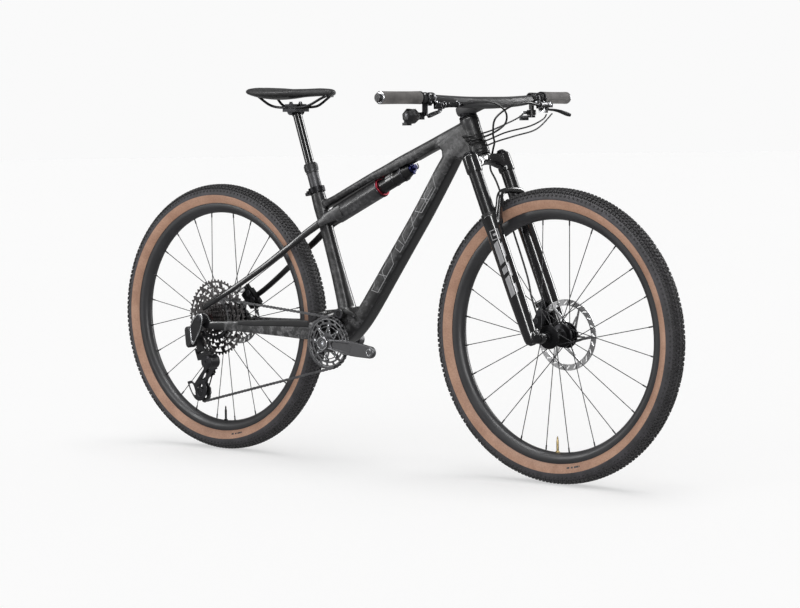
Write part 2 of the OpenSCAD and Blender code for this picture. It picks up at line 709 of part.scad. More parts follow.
module spun() {
    rotate([90, 0, 0]) rotate_extrude($fn = 96) children();
}
module tyre() {
    w = tyre_half_w;
    half = [
        [tyre_r, 0], [tyre_r - 1, w * 0.40], [tyre_r - 5, w * 0.75], [tyre_r - 13, w],
        [tyre_r - 24, w], [339, w * 0.98], [328, w * 0.87], [321, 19.6], [rim_seat_r + 0.2, 17.8],
        [rim_seat_r + 0.2, 14.9], [311.5, 14.9], [311.5, 12.2], [rim_seat_r + 2, 12.2],
        [324, 18.2], [333, w * 0.84], [346, w * 0.88], [357, w * 0.78], [363, w * 0.5], [365.5, 0]
    ];
    spun() polygon(concat(half, [for (i = [len(half) - 2 : -1 : 1]) [half[i][0], -half[i][1]]]));
}
module rim() {
    half = [
        [311.5, 0], [309, 7], [311.3, 11], [311.3, 15.2], [rim_seat_r, 15.2], [rim_seat_r, 17.8],
        [308, 18], [298, 12.5], [rim_inner_r, 7.5], [rim_inner_r - 1, 0]
    ];
    inner = [[306, 0], [305.5, 12], [301, 11], [296.5, 6], [295.5, 0]];
    difference() {
        spun() polygon(concat(half, [for (i = [len(half) - 2 : -1 : 1]) [half[i][0], -half[i][1]]]));
        spun() polygon(concat(inner, [for (i = [len(inner) - 2 : -1 : 1]) [inner[i][0], -inner[i][1]]]));
    }
    translate([0, 0, -rim_inner_r - 1]) {
        cylinder(r = 3, h = 33);
        cylinder(r = 5.5, h = 4);
        translate([0, 0, 33]) cylinder(r = 2.2, h = 8);
    }
}
// Every rim hole has one spoke; sides and lacing directions alternate.
module spokes(right_y, left_y, flange_r) {
    for (i = [0 : spoke_count - 1]) {
        side = i % 2 == 0 ? -1 : 1;
        pull = floor(i / 2) % 2 == 0 ? 1 : -1;
        rim_a = 360 * (i + 0.5) / spoke_count - 90;
        hub_a = rim_a + pull * 62;
        y = side < 0 ? right_y : left_y;
        p = [flange_r * cos(hub_a), y - pull * 1.6, flange_r * sin(hub_a)];
        q = [(rim_inner_r + 2) * cos(rim_a), side * 3, (rim_inner_r + 2) * sin(rim_a)];
        d = q - p;
        l = norm(d);
        translate(p) rotate([0, acos(d[2] / l), atan2(d[1], d[0])]) {
            cylinder(d = spoke_d, h = l, $fn = 16);
            translate([0, 0, l - 15]) cylinder(d = 3.8, h = 12, $fn = 16);
        }
    }
}
// Hub shell from outline points [radius, y], bored for its axle.
module hub_shell(outline, bore, y0, y1) {
    difference() {
        rotate([-90, 0, 0]) rotate_extrude() polygon(concat([[bore, y0]], outline, [[bore, y1]]));
    }
}
module brake_disc(r) {
    difference() {
        union() {
            difference() {
                across(r, -0.9, 0.9);
                across(r - 15, -2, 2);
                for (i = [0 : 11]) rotate([0, i * 30, 0]) translate([0, 0, r - 5]) across(2.6, -2, 2);
                for (i = [0 : 11]) rotate([0, i * 30 + 15, 0]) translate([0, 0, r - 10]) across(2.6, -2, 2);
            }
            for (i = [0 : 5]) rotate([0, i * 60, 0]) rotate([0, 28, 0])
                translate([-3.2, -0.9, 22]) cube([6.4, 1.8, r - 36]);
            across(32, -0.9, 0.9);
        }
        across(21, -2, 2);
    }
    tube_across(27, 19, -3.2, -0.9);
    tube_across(26, 19, 0.9, 4.2);
}
module at_front() { translate(front_axle_p) children(); }
module at_rear() { translate(rear_axle_p) children(); }
module front_tyre() { color([0.05, 0.05, 0.05]) at_front() tyre(); }
module rear_tyre() { color([0.05, 0.05, 0.05]) at_rear() tyre(); }
module front_rim() { color([0.1, 0.1, 0.1]) at_front() rim(); }
module rear_rim() { color([0.1, 0.1, 0.1]) at_rear() rim(); }
module front_spokes() { color([0.2, 0.2, 0.2]) at_front() spokes(-34, 22, 24); }
module rear_spokes() { color([0.2, 0.2, 0.2]) at_rear() spokes(-19, 34, 26); }
module front_hub() {
    color([0.04, 0.04, 0.04]) at_front() hub_shell([
        [10, -54.7], [10, -46], [15, -46], [15, -41], [20, -40], [30, -37], [30, -31], [18, -28],
        [13, -14], [13, 6], [18, 16], [30, 19], [30, 25], [21, 28], [18.9, 30], [18.9, 46.4],
        [11, 46.5], [10, 54.7]
    ], 7.55, -54.7, 54.7);
}
module rear_hub() {
    color([0.04, 0.04, 0.04]) at_rear() hub_shell([
        [20, -26], [31, -22], [31, -16], [18, -12], [15, 0], [15, 18], [20, 28], [31, 31], [31, 37],
        [22, 40], [18.9, 45], [18.9, 63], [12, 63.2], [10, 73.7]
    ], 6.05, -26, 73.7);
}
module front_disc() {
    color([0.75, 0.75, 0.77]) translate([0, front_disc_y, 0]) at_front() brake_disc(front_disc_r);
}
module rear_disc() {
    color([0.75, 0.75, 0.77]) translate([0, rear_disc_y, 0]) at_rear() brake_disc(rear_disc_r);
}

// ---- rear suspension ----

right_stay_path = [
    [-116, 36, 400, 7, 15, 3], [-150, 38, 384, 7, 18, 3.4], [-186, 40.5, 363, 6.5, 21, 4],
    [-215, 42.5, 352, 6.5, 24, 4], [-300, 50, 353, 7, 21, 4], [-400, 58, 354, 7, 17, 4],
    [-470, 68, 355, 6, 14.5, 4], [-500, 73, 355, 6, 13.5, 4], [-545, 79.5, 355, 6, 12, 4],
    [-566, 80, 357, 6, 11, 4]
];
module dropout() {
    translate(rear_axle_p) tube_across(17, 6.02, 74, 86);
    difference() {
        side_plate([[-588, 382], [-560, 384], [-548, 366], [-548, 344], [-568, 344], [-590, 358]], 74, 86);
        translate(rear_axle_p) across(6.02, 60, 90);
    }
}
module swingarm() {
    color([0.1, 0.1, 0.11]) difference() {
        union() {
            both_sides() {
                loft(right_stay_path, sides = 14, steps = 2);
                translate(pivot_p) across(15, 28.5, 44);
                dropout();
            }
            link_plate([-166, 398], [-184, 396], 11, 9, -40, 40);
            translate([-535, 44, 382]) rotate([0, 30, 0]) translate([0, 20, -26]) cube([14, 12, 10]);
        }
        translate(pivot_p) across(7.55, -60, 60);
        translate(pivot_p) across(15.5, -28, 28);
    }
}
module rear_axle() {
    color([0.1, 0.1, 0.1]) at_rear() difference() {
        union() {
            across(6, -88, 88);
            across(9.5, 86.3, 91);
        }
        across(3, 80, 95);
    }
}
module rear_caliper() {
    color([0.06, 0.06, 0.065]) translate([0, rear_disc_y, 0]) at_rear()
        rotate([0, 137, 0]) disc_caliper(rear_disc_r);
}
module shock_sleeve() {
    color([0.12, 0.12, 0.13]) difference() {
        union() {
            on_strut() translate([0, 0, -168]) cylinder(d = sleeve_d, h = 165);
            on_strut() translate([0, 0, -3]) cylinder(d = sleeve_d + 3, h = 5);
            both_sides() loft([
                [-118, 19, 677, 7, 18, 3], [-145, 24, 665, 6.5, 16, 3], [-168, 28.5, 653, 5.5, 13, 3],
                [-188.5, 29.5, 640.8, 5.5, 10.5, 3]
            ], sides = 12, steps = 2);
        }
        on_strut() translate([0, 0, -300]) cylinder(r = strut_d / 2 + 0.06, h = 400);
        translate([-260, -22.4, 600]) cube([102, 44.8, 120]);
    }
}
seatstay_path = [
    [-190.5, 29.5, 639.6, 5.5, 10.5, 3], [-230, 37, 614, 5.5, 9.5, 3], [-265, 43, 590, 5.5, 9, 3],
    [-300, 47, 567, 5.5, 8.5, 3], [-372, 57, 518.5, 5.5, 8, 3], [-440, 69, 476, 5.5, 7.5, 3],
    [-500, 78, 441, 5, 7.5, 3], [-550, 80, 415, 5, 7.5, 3], [-578, 80, 400.5, 5, 7.5, 3]
];
module seatstays() {
    color([0.08, 0.08, 0.09]) both_sides() difference() {
        loft(seatstay_path, sides = 12, steps = 2);
        translate([rear_axle_p[0], 0, rear_axle_p[2]]) across(18.5, 60, 100);
        translate([-610, 60, 360]) cube([80, 40, 25.5]);
    }
}

// ---- drivetrain ----

cog_list = [52, 44, 38, 32, 28, 24, 21, 18, 16, 14, 12, 10];
module cassette() {
    color([0.08, 0.08, 0.08]) at_rear() {
        for (i = [0 : 11]) translate([0, -27.9 - 3.58 * i, 0])
            tube_across(pitch_r(cog_list[i]) + 1.5, i < 11 ? pitch_r(cog_list[i + 1]) - 6 : 12, -0.8, 0.8);
        for (i = [0 : 10]) translate([0, -27.9 - 3.58 * i, 0])
            tube_across(pitch_r(cog_list[i + 1]) - 4.1, pitch_r(cog_list[i + 1]) - 5.9, -2.8, -0.79);
        tube_across(13.5, 6.05, -73.7, -66.5);
        tube_across(17, 6.05, -66.5, -26.4);
        tube_across(42, 16.5, -44.7, -42.7);
    }
}
crank_lean = 5.2;
module crank_arm(side) {
    y_in = 57;
    l = crank_l;
    difference() {
        union() {
            across(19, y_in, 78);
            translate([l, 0, 0]) across(14, 70, 85);
            multmatrix([[1, 0, 0, 0], [0.075, 1, 0, 0], [0, 0, 1, 0], [0, 0, 0, 1]])
                link_plate([0, 0], [l, 0], 17, 13.5, 60, 72);
        }
        translate([l, 0, 0]) across(6.8, 40, 120);
        across(8, 73, 90);
        multmatrix([[1, 0, 0, 0], [0.075, 1, 0, 0], [0, 0, 1, 0], [0, 0, 0, 1]])
            link_plate([34, 0], [96, 0], 9, 6.5, 66, 80);
    }
}
module on_crank() {
    translate(bb_p) rotate([0, crank_lean, 0]) children();
}
module crank_right() {
    color([0.1, 0.1, 0.11]) on_crank() {
        mirror([0, 1, 0]) crank_arm(1);
        difference() {
            across(14.45, -53.15, 56.5);
            across(11, -70, 60);
        }
        difference() {
            union() {
                across(24, -57.2, -53.2);
                for (i = [0 : 7]) rotate([0, i * 45, 0]) translate([-4, -55.6, 20]) cube([8, 2.4, 27]);
            }
            across(13, -60, -50);
        }
    }
}
module crank_left() {
    color([0.1, 0.1, 0.11]) on_crank() rotate([0, 180, 0]) difference() {
        crank_arm(1);
        across(8, 50, 90);
        across(14.5, 50, 56.8);
    }
}
module chainring() {
    color([0.13, 0.13, 0.14]) on_crank() difference() {
        gear_plate(ring_teeth, ring_y - 0.7, ring_y + 0.7);
        across(51, ring_y - 3, ring_y + 3);
    }
    color([0.13, 0.13, 0.14]) on_crank() {
        tube_across(55, 44, ring_y - 1.2, ring_y - 1);
        tube_across(52, 42, ring_y - 1, ring_y + 1);
    }
}
link_a = [-604, -78, 322];
link_b = [-590, -78, 284];
link_l = norm(link_b - link_a);
// Local z along the link's hinge axes, local x from one axis to the other.
module on_link(p) {
    translate(p) rotate([0, 69.8, 0]) children();
}
module derailleur_mount() {
    color([0.05, 0.05, 0.055]) {
        difference() {
            union() {
                at_rear() across(15, -102, -86.4);
                link_plate([-574.5, 372], [-602, 342], 14, 14, -102, -91);
                link_plate([-602, 342], [-611, 320], 14, 9, -102, -91);
                for (z = [-17, 12.4]) on_link(link_a) translate([-9, -14, z]) cube([17, 21, 4.6]);
                link_plate([-602, 342], [-630, 332], 10, 12, -101, -92);
            }
            at_rear() across(6.05, -91.5, -70);
            at_rear() across(4, -110, -70);
            on_link(link_a) cylinder(r = 3.02, h = 60, center = true);
        }
        link_plate([-637, 330], [-634, 298], 13, 12, -100, -72);
    }
}
module derailleur_link() {
    color([0.07, 0.07, 0.075]) difference() {
        union() {
            on_link(link_a) cylinder(r = 7, h = 24, center = true);
            on_link(link_b) cylinder(r = 7, h = 24, center = true);
            on_link(link_a) translate([0, -5, -11]) cube([link_l, 10, 22]);
        }
        for (p = [link_a, link_b]) on_link(p) cylinder(r = 3.02, h = 60, center = true);
    }
    color([0.5, 0.5, 0.5]) for (p = [link_a, link_b]) on_link(p) cylinder(r = 2.97, h = 33.6, center = true);
}
module derailleur_knuckle() {
    color([0.06, 0.06, 0.065]) difference() {
        union() {
            translate([cage_pivot[0], 0, cage_pivot[2]]) across(20, -88, -54);
            for (z = [-17, 12.4]) on_link(link_b) translate([-7, -8, z]) cube([24, 16, 4.6]);
            on_link(link_b) translate([10, -8, -17]) cube([16, 16, 42]);
        }
        on_link(link_b) cylinder(r = 3.02, h = 60, center = true);
        translate([cage_pivot[0], 0, cage_pivot[2]]) across(6.05, -70, -40);
    }
}
module cage_plate(y0, y1) {
    link_plate(flat(guide_c), flat(tension_c), 13, 15, y0, y1);
    link_plate(flat(cage_pivot), flat(guide_c), 13, 13, y0, y1);
}
module derailleur_cage() {
    color([0.06, 0.06, 0.065]) {
        difference() {
            cage_plate(-50.5, -47.5);
            link_plate([-600, 219], [-613, 185], 6, 6, -55, -40);
            for (p = [guide_c, tension_c]) translate([p[0], 0, p[2]]) across(2.6, -60, -30);
        }
        difference() {
            cage_plate(-36.5, -34.5);
            link_plate([-600, 219], [-613, 185], 6, 6, -55, -30);
            for (p = [guide_c, tension_c]) translate([p[0], 0, p[2]]) across(2.6, -60, -30);
            translate([cage_pivot[0], 0, cage_pivot[2]]) across(30, -40, -30);
        }
        translate([cage_pivot[0], 0, cage_pivot[2]]) across(6, -66, -50.4);
        for (p = [guide_c, tension_c]) translate([p[0], 0, p[2]]) across(2.58, -51.5, -34);
    }
}
module pulley(c, teeth) {
    translate([c[0], 0, c[2]]) difference() {
        union() {
            difference() {
                gear_plate(teeth, cog_y - 0.9, cog_y + 0.9);
                for (i = [0 : 5]) rotate([0, i * 60, 0]) translate([0, 0, pitch_r(teeth) * 0.56])
                    across(3.3, cog_y - 3, cog_y + 3);
            }
            across(8, cog_y - 4, cog_y + 4);
        }
        across(2.66, -60, -30);
    }
}
module guide_pulley() { color([0.08, 0.08, 0.08]) pulley(guide_c, guide_teeth); }
module tension_pulley() { color([0.08, 0.08, 0.08]) pulley(tension_c, tension_teeth); }

front_triangle();
frame_bearings();
seat_clamp();
seatpost_outer();
strut_tube();
strut_spool();
frame_fittings();
pivot_axle();
chain();
dropper_shaft();
saddle_clamp();
saddle_rails();
saddle_shell();
saddle_cover();
fork_crown();
fork_stanchions();
steering_caps();
handlebar();
grips();
brake_body_right();
brake_body_left();
shifter_body();
remote_body();
rear_brake_hose();
front_brake_hose();
frame_cables();
fork_cable();
brake_lever_right();
brake_lever_left();
shift_paddle();
remote_lever();
lockout_lever();
fork_lowers();
front_axle();
front_caliper();
front_tyre();
front_rim();
front_spokes();
front_hub();
front_disc();
swingarm();
rear_axle();
rear_caliper();
shock_sleeve();
seatstays();
rear_tyre();
rear_rim();
rear_spokes();
rear_hub();
rear_disc();
cassette();
crank_right();
crank_left();
chainring();
derailleur_mount();
derailleur_link();
derailleur_knuckle();
derailleur_cage();
guide_pulley();
tension_pulley();
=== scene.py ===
"""Looks of the full-suspension mountain bike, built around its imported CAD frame.

Shapes are worked out in millimetres in the frame's own axes (+X forward, +Y to the rider's left, +Z up)
and turned into metres when a piece is made.
"""

import json
import math

import bpy
import numpy as np
from mathutils import Matrix, Vector
from mathutils.bvhtree import BVHTree


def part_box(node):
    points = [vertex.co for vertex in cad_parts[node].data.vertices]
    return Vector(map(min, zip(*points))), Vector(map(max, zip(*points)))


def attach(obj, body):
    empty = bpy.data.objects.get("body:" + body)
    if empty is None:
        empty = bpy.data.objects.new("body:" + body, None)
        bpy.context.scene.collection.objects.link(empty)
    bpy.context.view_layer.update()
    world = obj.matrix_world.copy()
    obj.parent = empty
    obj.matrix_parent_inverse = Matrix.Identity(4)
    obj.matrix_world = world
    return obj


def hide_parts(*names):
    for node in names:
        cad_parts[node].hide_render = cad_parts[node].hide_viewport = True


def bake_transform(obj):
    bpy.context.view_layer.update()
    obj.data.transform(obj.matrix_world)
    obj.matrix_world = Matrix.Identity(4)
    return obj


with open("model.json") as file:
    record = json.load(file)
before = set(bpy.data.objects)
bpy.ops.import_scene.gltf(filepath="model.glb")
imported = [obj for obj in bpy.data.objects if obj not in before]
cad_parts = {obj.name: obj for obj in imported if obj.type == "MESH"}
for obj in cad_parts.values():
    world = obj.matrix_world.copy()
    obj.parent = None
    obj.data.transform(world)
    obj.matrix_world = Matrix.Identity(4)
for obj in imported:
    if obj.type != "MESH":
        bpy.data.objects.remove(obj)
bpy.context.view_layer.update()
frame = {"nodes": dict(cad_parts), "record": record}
MM = 0.001

# ---------------------------------------------------------------- places taken from the frame

joints = {j["name"]: j for j in frame["record"]["behaviour"]["joints"]}


def joint_place(name):
    """A joint's point, in millimetres."""
    return np.array(joints[name]["pos_m"], float) / MM


def unit(v):
    v = np.array(v, float)
    return v / np.linalg.norm(v)


def axes_at(origin, x_axis, z_axis):
    """4x4 matrix of a local frame given by its x and z directions."""
    x_axis, z_axis = unit(x_axis), unit(z_axis)
    m = np.eye(4)
    m[:3, 0], m[:3, 1], m[:3, 2], m[:3, 3] = x_axis, np.cross(z_axis, x_axis), z_axis, origin
    return m


def shift(x, y, z):
    m = np.eye(4)
    m[:3, 3] = x, y, z
    return m


def turn(axis, degrees):
    m = np.eye(4)
    m[:3, :3] = np.array(Matrix.Rotation(math.radians(degrees), 3, axis))
    return m


FRONT = joint_place("front_wheel_spin")
REAR = joint_place("rear_wheel_spin")
CRANK = joint_place("crank_spin")
PIVOT = joint_place("rear_swing")
STEER_FOOT = joint_place("steer")
STEER_UP = unit(joints["steer"]["axis"])
STEER_AHEAD = np.array([STEER_UP[2], 0, -STEER_UP[0]])
STRUT_DIR = unit(joints["strut_slide"]["axis"])
POST_DIR = unit(joints["dropper_slide"]["axis"])
CAGE = joint_place("cage_swing")
GUIDE = joint_place("guide_pulley_spin")
TENSION = joint_place("tension_pulley_spin")
LINK_A = joint_place("derail_shift")
LINK_B = joint_place("derail_parallel")
STRUT_MID = np.array([6.0, 0.0, 738.0])
POST_FOOT = np.array([-205.7, 0.0, 684.5])
SLEEVE_R, STRUT_R = 25.0, 19.0
LINK_AXIS = unit(joints["derail_shift"]["axis"])
CAGE_AXIS = np.array([CAGE[0], 0, CAGE[2]])

steer_at = axes_at(STEER_FOOT, STEER_AHEAD, STEER_UP)
strut_at = axes_at(STRUT_MID, np.cross([0, 1, 0], STRUT_DIR), STRUT_DIR)
post_at = axes_at(POST_FOOT, np.cross([0, 1, 0], POST_DIR), POST_DIR)
crank_at = shift(*CRANK) @ turn("Y", 5.2)

# ---------------------------------------------------------------- shapes: (vertices, faces)


def polar(r, a):
    """The flat point at radius r and angle a."""
    return r * math.cos(a), r * math.sin(a)


def spaced(count, phase=0.0):
    """Angles of equal steps round a circle."""
    return [2 * math.pi * (k + phase) / count for k in range(count)]


def round_point(centre, r, a):
    """The point at radius r and angle a from a centre, in the side view."""
    return centre + np.array([r * math.cos(a), 0, r * math.sin(a)])


def spline(rows, steps):
    """Catmull-Rom curve through rows of any width."""
    s = np.array(rows, float)
    out = []
    for i in range(len(s) - 1):
        a, b, c, d = s[max(i - 1, 0)], s[i], s[i + 1], s[min(i + 2, len(s) - 1)]
        for k in range(steps):
            t = k / steps
            out.append(
                0.5 * (2 * b + (c - a) * t + (2 * a - 5 * b + 4 * c - d) * t**2
                       + (3 * b - a - 3 * c + d) * t**3)
            )
    out.append(s[-1])
    return np.array(out)


def skin(rings, closed=False, caps=True):
    """Quads between rings of points, closed round each ring."""
    n, m = len(rings), len(rings[0])
    v = np.concatenate(rings)
    faces = []
    for i in range(n if closed else n - 1):
        a, b = i * m, (i + 1) % n * m
        for k in range(m):
            q = (k + 1) % m
            faces.append((a + k, a + q, b + q, b + k))
    if caps and not closed:
        faces.append(tuple(range(m - 1, -1, -1)))
        faces.append(tuple((n - 1) * m + k for k in range(m)))
    return v, faces


def loft(stations, ref=(0, 1, 0), sides=40, steps=8, round_ends=0.0):
    """A tube through stations [x, y, z, half width along ref, half depth, squareness]."""
    s = spline(stations, steps)
    angle = np.arange(sides) * 2 * math.pi / sides
    cos, sin = np.cos(angle), np.sin(angle)
    rings = []
    last = len(s) - 1
    for i, row in enumerate(s):
        t = unit(s[min(i + 1, last), :3] - s[max(i - 1, 0), :3])
        e1 = unit(np.array(ref) - t * np.dot(ref, t))
        e2 = np.cross(t, e1)
        p = 2 / row[5]
        u = np.sign(cos) * np.abs(cos) ** p * row[3]
        w = np.sign(sin) * np.abs(sin) ** p * row[4]
        rings.append(row[:3] + np.outer(u, e1) + np.outer(w, e2))
    if round_ends:
        for end, step in ((0, -1), (last, 1)):
            centre = s[end, :3]
            t = unit(s[end, :3] - s[end - step, :3])
            extra = []
            for k in (1, 2, 3):
                f = k / 3.3
                size = math.sqrt(1 - f * f)
                extra.append(centre + (rings[end if step > 0 else 0] - centre) * size + t * f * round_ends)
            rings = rings + extra if step > 0 else extra[::-1] + rings
            last = len(rings) - 1 if step > 0 else last
    return skin(rings)


def sweep(points, radius, sides=16, steps=8, closed=False):
    """A round cord. radius is one number or one for each given point."""
    pts = np.array(points, float)
    r = np.full((len(pts), 1), radius) if np.isscalar(radius) else np.array(radius, float)[:, None]
    s = spline(np.hstack([pts, r]), steps)
    path = s[:, :3]
    tangents = np.gradient(path, axis=0)
    tangents /= np.linalg.norm(tangents, axis=1)[:, None]
    side = unit(np.cross(tangents[0], [0.31, 0.11, 0.94]))
    rings = []
    angle = np.arange(sides) * 2 * math.pi / sides
    for p, t, radius_here in zip(path, tangents, s[:, 3]):
        side = unit(side - t * np.dot(side, t))
        other = np.cross(t, side)
        rings.append(p + radius_here * (np.outer(np.cos(angle), side) + np.outer(np.sin(angle), other)))
    return skin(rings, closed=closed)


def lathe(origin, direction, profile, sides=48, closed=False):
    """A turned shape: profile rows are (distance along direction, radius)."""
    d = unit(direction)
    a = unit(np.cross(d, [0.3, 0.9, 0.1] if abs(d[1]) < 0.9 else [0.9, 0.1, 0.3]))
    b = np.cross(d, a)
    angle = np.arange(sides) * 2 * math.pi / sides
    circle = np.outer(np.cos(angle), a) + np.outer(np.sin(angle), b)
    rings = [np.array(origin) + d * x + circle * r for x, r in profile]
    return skin(rings, closed=closed)


def tube_ring(origin, direction, y0, y1, bore, outer, chamfer=0.6, sides=64):
    """A ring with a bore and small chamfers."""
    c = min(chamfer, (outer - bore) / 3, (y1 - y0) / 3)
    profile = [
        (y0, bore + c), (y0, outer - c), (y0 + c, outer), (y1 - c, outer),
        (y1, outer - c), (y1, bore + c), (y1 - c, bore), (y0 + c, bore),
    ]
    return lathe(origin, direction, profile, sides, closed=True)


def rod(p, q, r0, r1=None, chamfer=0.5, sides=32):
    """A rod between two points, with chamfered ends."""
    r1 = r0 if r1 is None else r1
    p, q = np.array(p, float), np.array(q, float)
    l = np.linalg.norm(q - p)
    c = min(chamfer, r0 / 2, r1 / 2, l / 3)
    return lathe(p, q - p, [(0, r0 - c), (c, r0), (l - c, r1), (l, r1 - c)], sides)


def pin(centre, y0, y1, radius, **how):
    """A rod along Y between two distances from a point."""
    return rod(centre + np.array([0, y0, 0]), centre + np.array([0, y1, 0]), radius, **how)


def cap_screw(origin, direction, radius, height, sides=32):
    """A screw head with a round socket."""
    return lathe(
        origin, direction,
        [(0, radius), (height - 0.5, radius), (height, radius - 0.5), (height, radius * 0.56),
         (height - radius * 0.5, radius * 0.5), (height - radius * 0.5, 0.01)],
        sides,
    )


def block(low, high):
    """A box; its edges are rounded when the piece is made."""
    (x0, y0, z0), (x1, y1, z1) = low, high
    v = [(x, y, z) for x in (x0, x1) for y in (y0, y1) for z in (z0, z1)]
    f = [(0, 1, 3, 2), (4, 6, 7, 5), (0, 4, 5, 1), (2, 3, 7, 6), (0, 2, 6, 4), (1, 5, 7, 3)]
    return np.array(v, float), f


def circle_loop(centre, r, n=48, start=0.0):
    a = start + np.arange(n) * 2 * math.pi / n
    return np.column_stack([centre[0] + r * np.cos(a), centre[1] + r * np.sin(a)])


def slot_loop(a, b, ra, rb=None, n=12):
    """Outline of a bar with round ends between two points."""
    rb = ra if rb is None else rb
    a, b = np.array(a, float), np.array(b, float)
    d = b - a
    t = math.atan2(d[1], d[0])
    lean = math.asin(max(-1, min(1, (ra - rb) / np.linalg.norm(d))))
    one = np.linspace(t + math.pi / 2 - lean, t + 1.5 * math.pi + lean, n)
    two = np.linspace(t - math.pi / 2 + lean, t + math.pi / 2 - lean, n)
    return np.vstack([
        np.column_stack([a[0] + ra * np.cos(one), a[1] + ra * np.sin(one)]),
        np.column_stack([b[0] + rb * np.cos(two), b[1] + rb * np.sin(two)]),
    ])


def added(name, data):
    """A new object in the scene."""
    o = bpy.data.objects.new(name, data)
    bpy.context.scene.collection.objects.link(o)
    return o


def evaluated_mesh(o):
    return bpy.data.meshes.new_from_object(o.evaluated_get(bpy.context.evaluated_depsgraph_get()))


def mesh_shape(mesh):
    """A Blender mesh as (vertices, faces)."""
    v = np.array([w.co for w in mesh.vertices], float).reshape(-1, 3) / MM
    return v, [tuple(p.vertices) for p in mesh.polygons]


def plate(loops, y0, y1, chamfer=0.3):
    """A flat plate cut to loops of (x, z) points, holes included, between y0 and y1."""
    curve = bpy.data.curves.new("plate", "CURVE")
    curve.dimensions = "2D"
    curve.fill_mode = "BOTH"
    c = min(chamfer, (y1 - y0) / 2 - 0.02)
    curve.extrude = ((y1 - y0) / 2 - c) * MM
    curve.bevel_depth = c * MM
    curve.bevel_resolution = 0
    curve.offset = -c * MM
    for loop in loops:
        s = curve.splines.new("POLY")
        s.points.add(len(loop) - 1)
        s.use_cyclic_u = True
        for p, q in zip(s.points, loop):
            p.co = (q[0] * MM, q[1] * MM, 0, 1)
    o = added("plate", curve)
    mesh = evaluated_mesh(o)
    v, f = mesh_shape(mesh)
    bpy.data.objects.remove(o)
    bpy.data.curves.remove(curve)
    bpy.data.meshes.remove(mesh)
    return np.column_stack([v[:, 0], (y0 + y1) / 2 - v[:, 2], v[:, 1]]), f


def moved(shape, m):
    v, f = shape
    return np.asarray(v, float) @ m[:3, :3].T + m[:3, 3], f


def mirrored(shape):
    """The same shape on the other side of the bike."""
    v, f = shape
    return np.asarray(v, float) * [1, -1, 1], [tuple(reversed(q)) for q in f]


def both(shape):
    return [shape, mirrored(shape)]


def band(at, z0, z1, bore, outer, chamfer=0.6, sides=64):
    """A ring round the z axis of a local frame."""
    return moved(tube_ring((0, 0, 0), (0, 0, 1), z0, z1, bore, outer, chamfer, sides), at)


def turned(at, z, profile, sides=48):
    """A turned shape on the z axis of a local frame."""
    return moved(lathe((0, 0, z), (0, 0, 1), profile, sides), at)


def there_and_back(half):
    """Loft stations of one side and the middle, followed by the same ones on the other side."""
    return half + [[x, -y, *rest] for x, y, *rest in half[-2::-1]]


# ---------------------------------------------------------------- making pieces


def new_object(name, shapes, looks=()):
    """shapes: list of (vertices, faces) or (vertices, faces, index of the look)."""
    vs, fs, ms, n = [], [], [], 0
    for shape in shapes:
        v, f, index = shape if len(shape) > 2 else (*shape, 0)
        vs.append(np.asarray(v, float))
        fs += [tuple(i + n for i in q) for q in f]
        ms += [index] * len(f)
        n += len(v)
    mesh = bpy.data.meshes.new(name)
    mesh.from_pydata((np.concatenate(vs) * MM).tolist(), [], fs)
    mesh.polygons.foreach_set("material_index", ms)
    for look in looks:
        mesh.materials.append(look.mat)
    mesh.update()
    return added(name, mesh)


def bake(o):
    """Turns the object's modifiers into its mesh."""
    mesh = evaluated_mesh(o)
    old = o.data
    o.modifiers.clear()
    o.data = mesh
    bpy.data.meshes.remove(old)


def bevel(o, width, segments=2, angle=35):
    """Rounds the edges that are sharper than angle."""
    m = o.modifiers.new("edges", "BEVEL")
    m.width = width * MM
    m.segments = segments
    m.limit_method = "ANGLE"
    m.angle_limit = math.radians(angle)
    m.use_clamp_overlap = True


def carve(o, cutters):
    """Takes the cutters out of an object, by exact boolean."""
    tools = [new_object("tool", [c]) for c in cutters]
    for tool in tools:
        m = o.modifiers.new("cut", "BOOLEAN")
        m.operation = "DIFFERENCE"
        m.solver = "EXACT"
        m.object = tool
    bake(o)
    for tool in tools:
        bpy.data.objects.remove(tool)


def cut(shape, *cutters):
    """shape less the cutters."""
    o = new_object("cut", [shape])
    carve(o, cutters)
    v, f = mesh_shape(o.data)
    bpy.data.objects.remove(o)
    return v, f


def shade(o, angle):
    """Smooth shading with the edges sharper than angle left crisp."""
    o.data.polygons.foreach_set("use_smooth", [True] * len(o.data.polygons))
    o.data.set_sharp_from_angle(angle=math.radians(angle))


def follow(o, body):
    """Rides on a body; given (body, body, start, end), it is only fixed where it stands."""
    if isinstance(body, str):
        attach(o, body)
    else:
        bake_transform(o)


def settle(o, body, replaces=(), angle=35):
    shade(o, angle)
    follow(o, body)
    if replaces:
        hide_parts(*replaces)
    return o


def piece(name, shapes, looks, body, replaces=(), edges=0.0, angle=35):
    """One visible piece, riding on a body."""
    o = new_object(name, shapes, looks if isinstance(looks, list) else [looks])
    if edges:
        bevel(o, edges)
        bake(o)
    return settle(o, body, replaces, angle)


def fused(name, shapes, voxel, smooth, looks, body, replaces=(), cutters=()):
    """Closed shapes grown together into one moulded skin."""
    o = new_object(name, shapes)
    m = o.modifiers.new("fuse", "REMESH")
    m.mode = "VOXEL"
    m.voxel_size = voxel * MM
    m = o.modifiers.new("soften", "SMOOTH")
    m.factor = 0.5
    m.iterations = smooth
    bake(o)
    if cutters:
        carve(o, cutters)
    for look in looks:
        o.data.materials.append(look.mat)
    return settle(o, body, replaces, 50)


def keep(node, look, edges=0.0):
    """A CAD node shown as it is, with softened edges and a better material."""
    o = frame["nodes"][node]
    o.data.materials.clear()
    o.data.materials.append(look.mat)
    o.data.polygons.foreach_set("material_index", [0] * len(o.data.polygons))
    if edges:
        bevel(o, edges)


# ---------------------------------------------------------------- materials


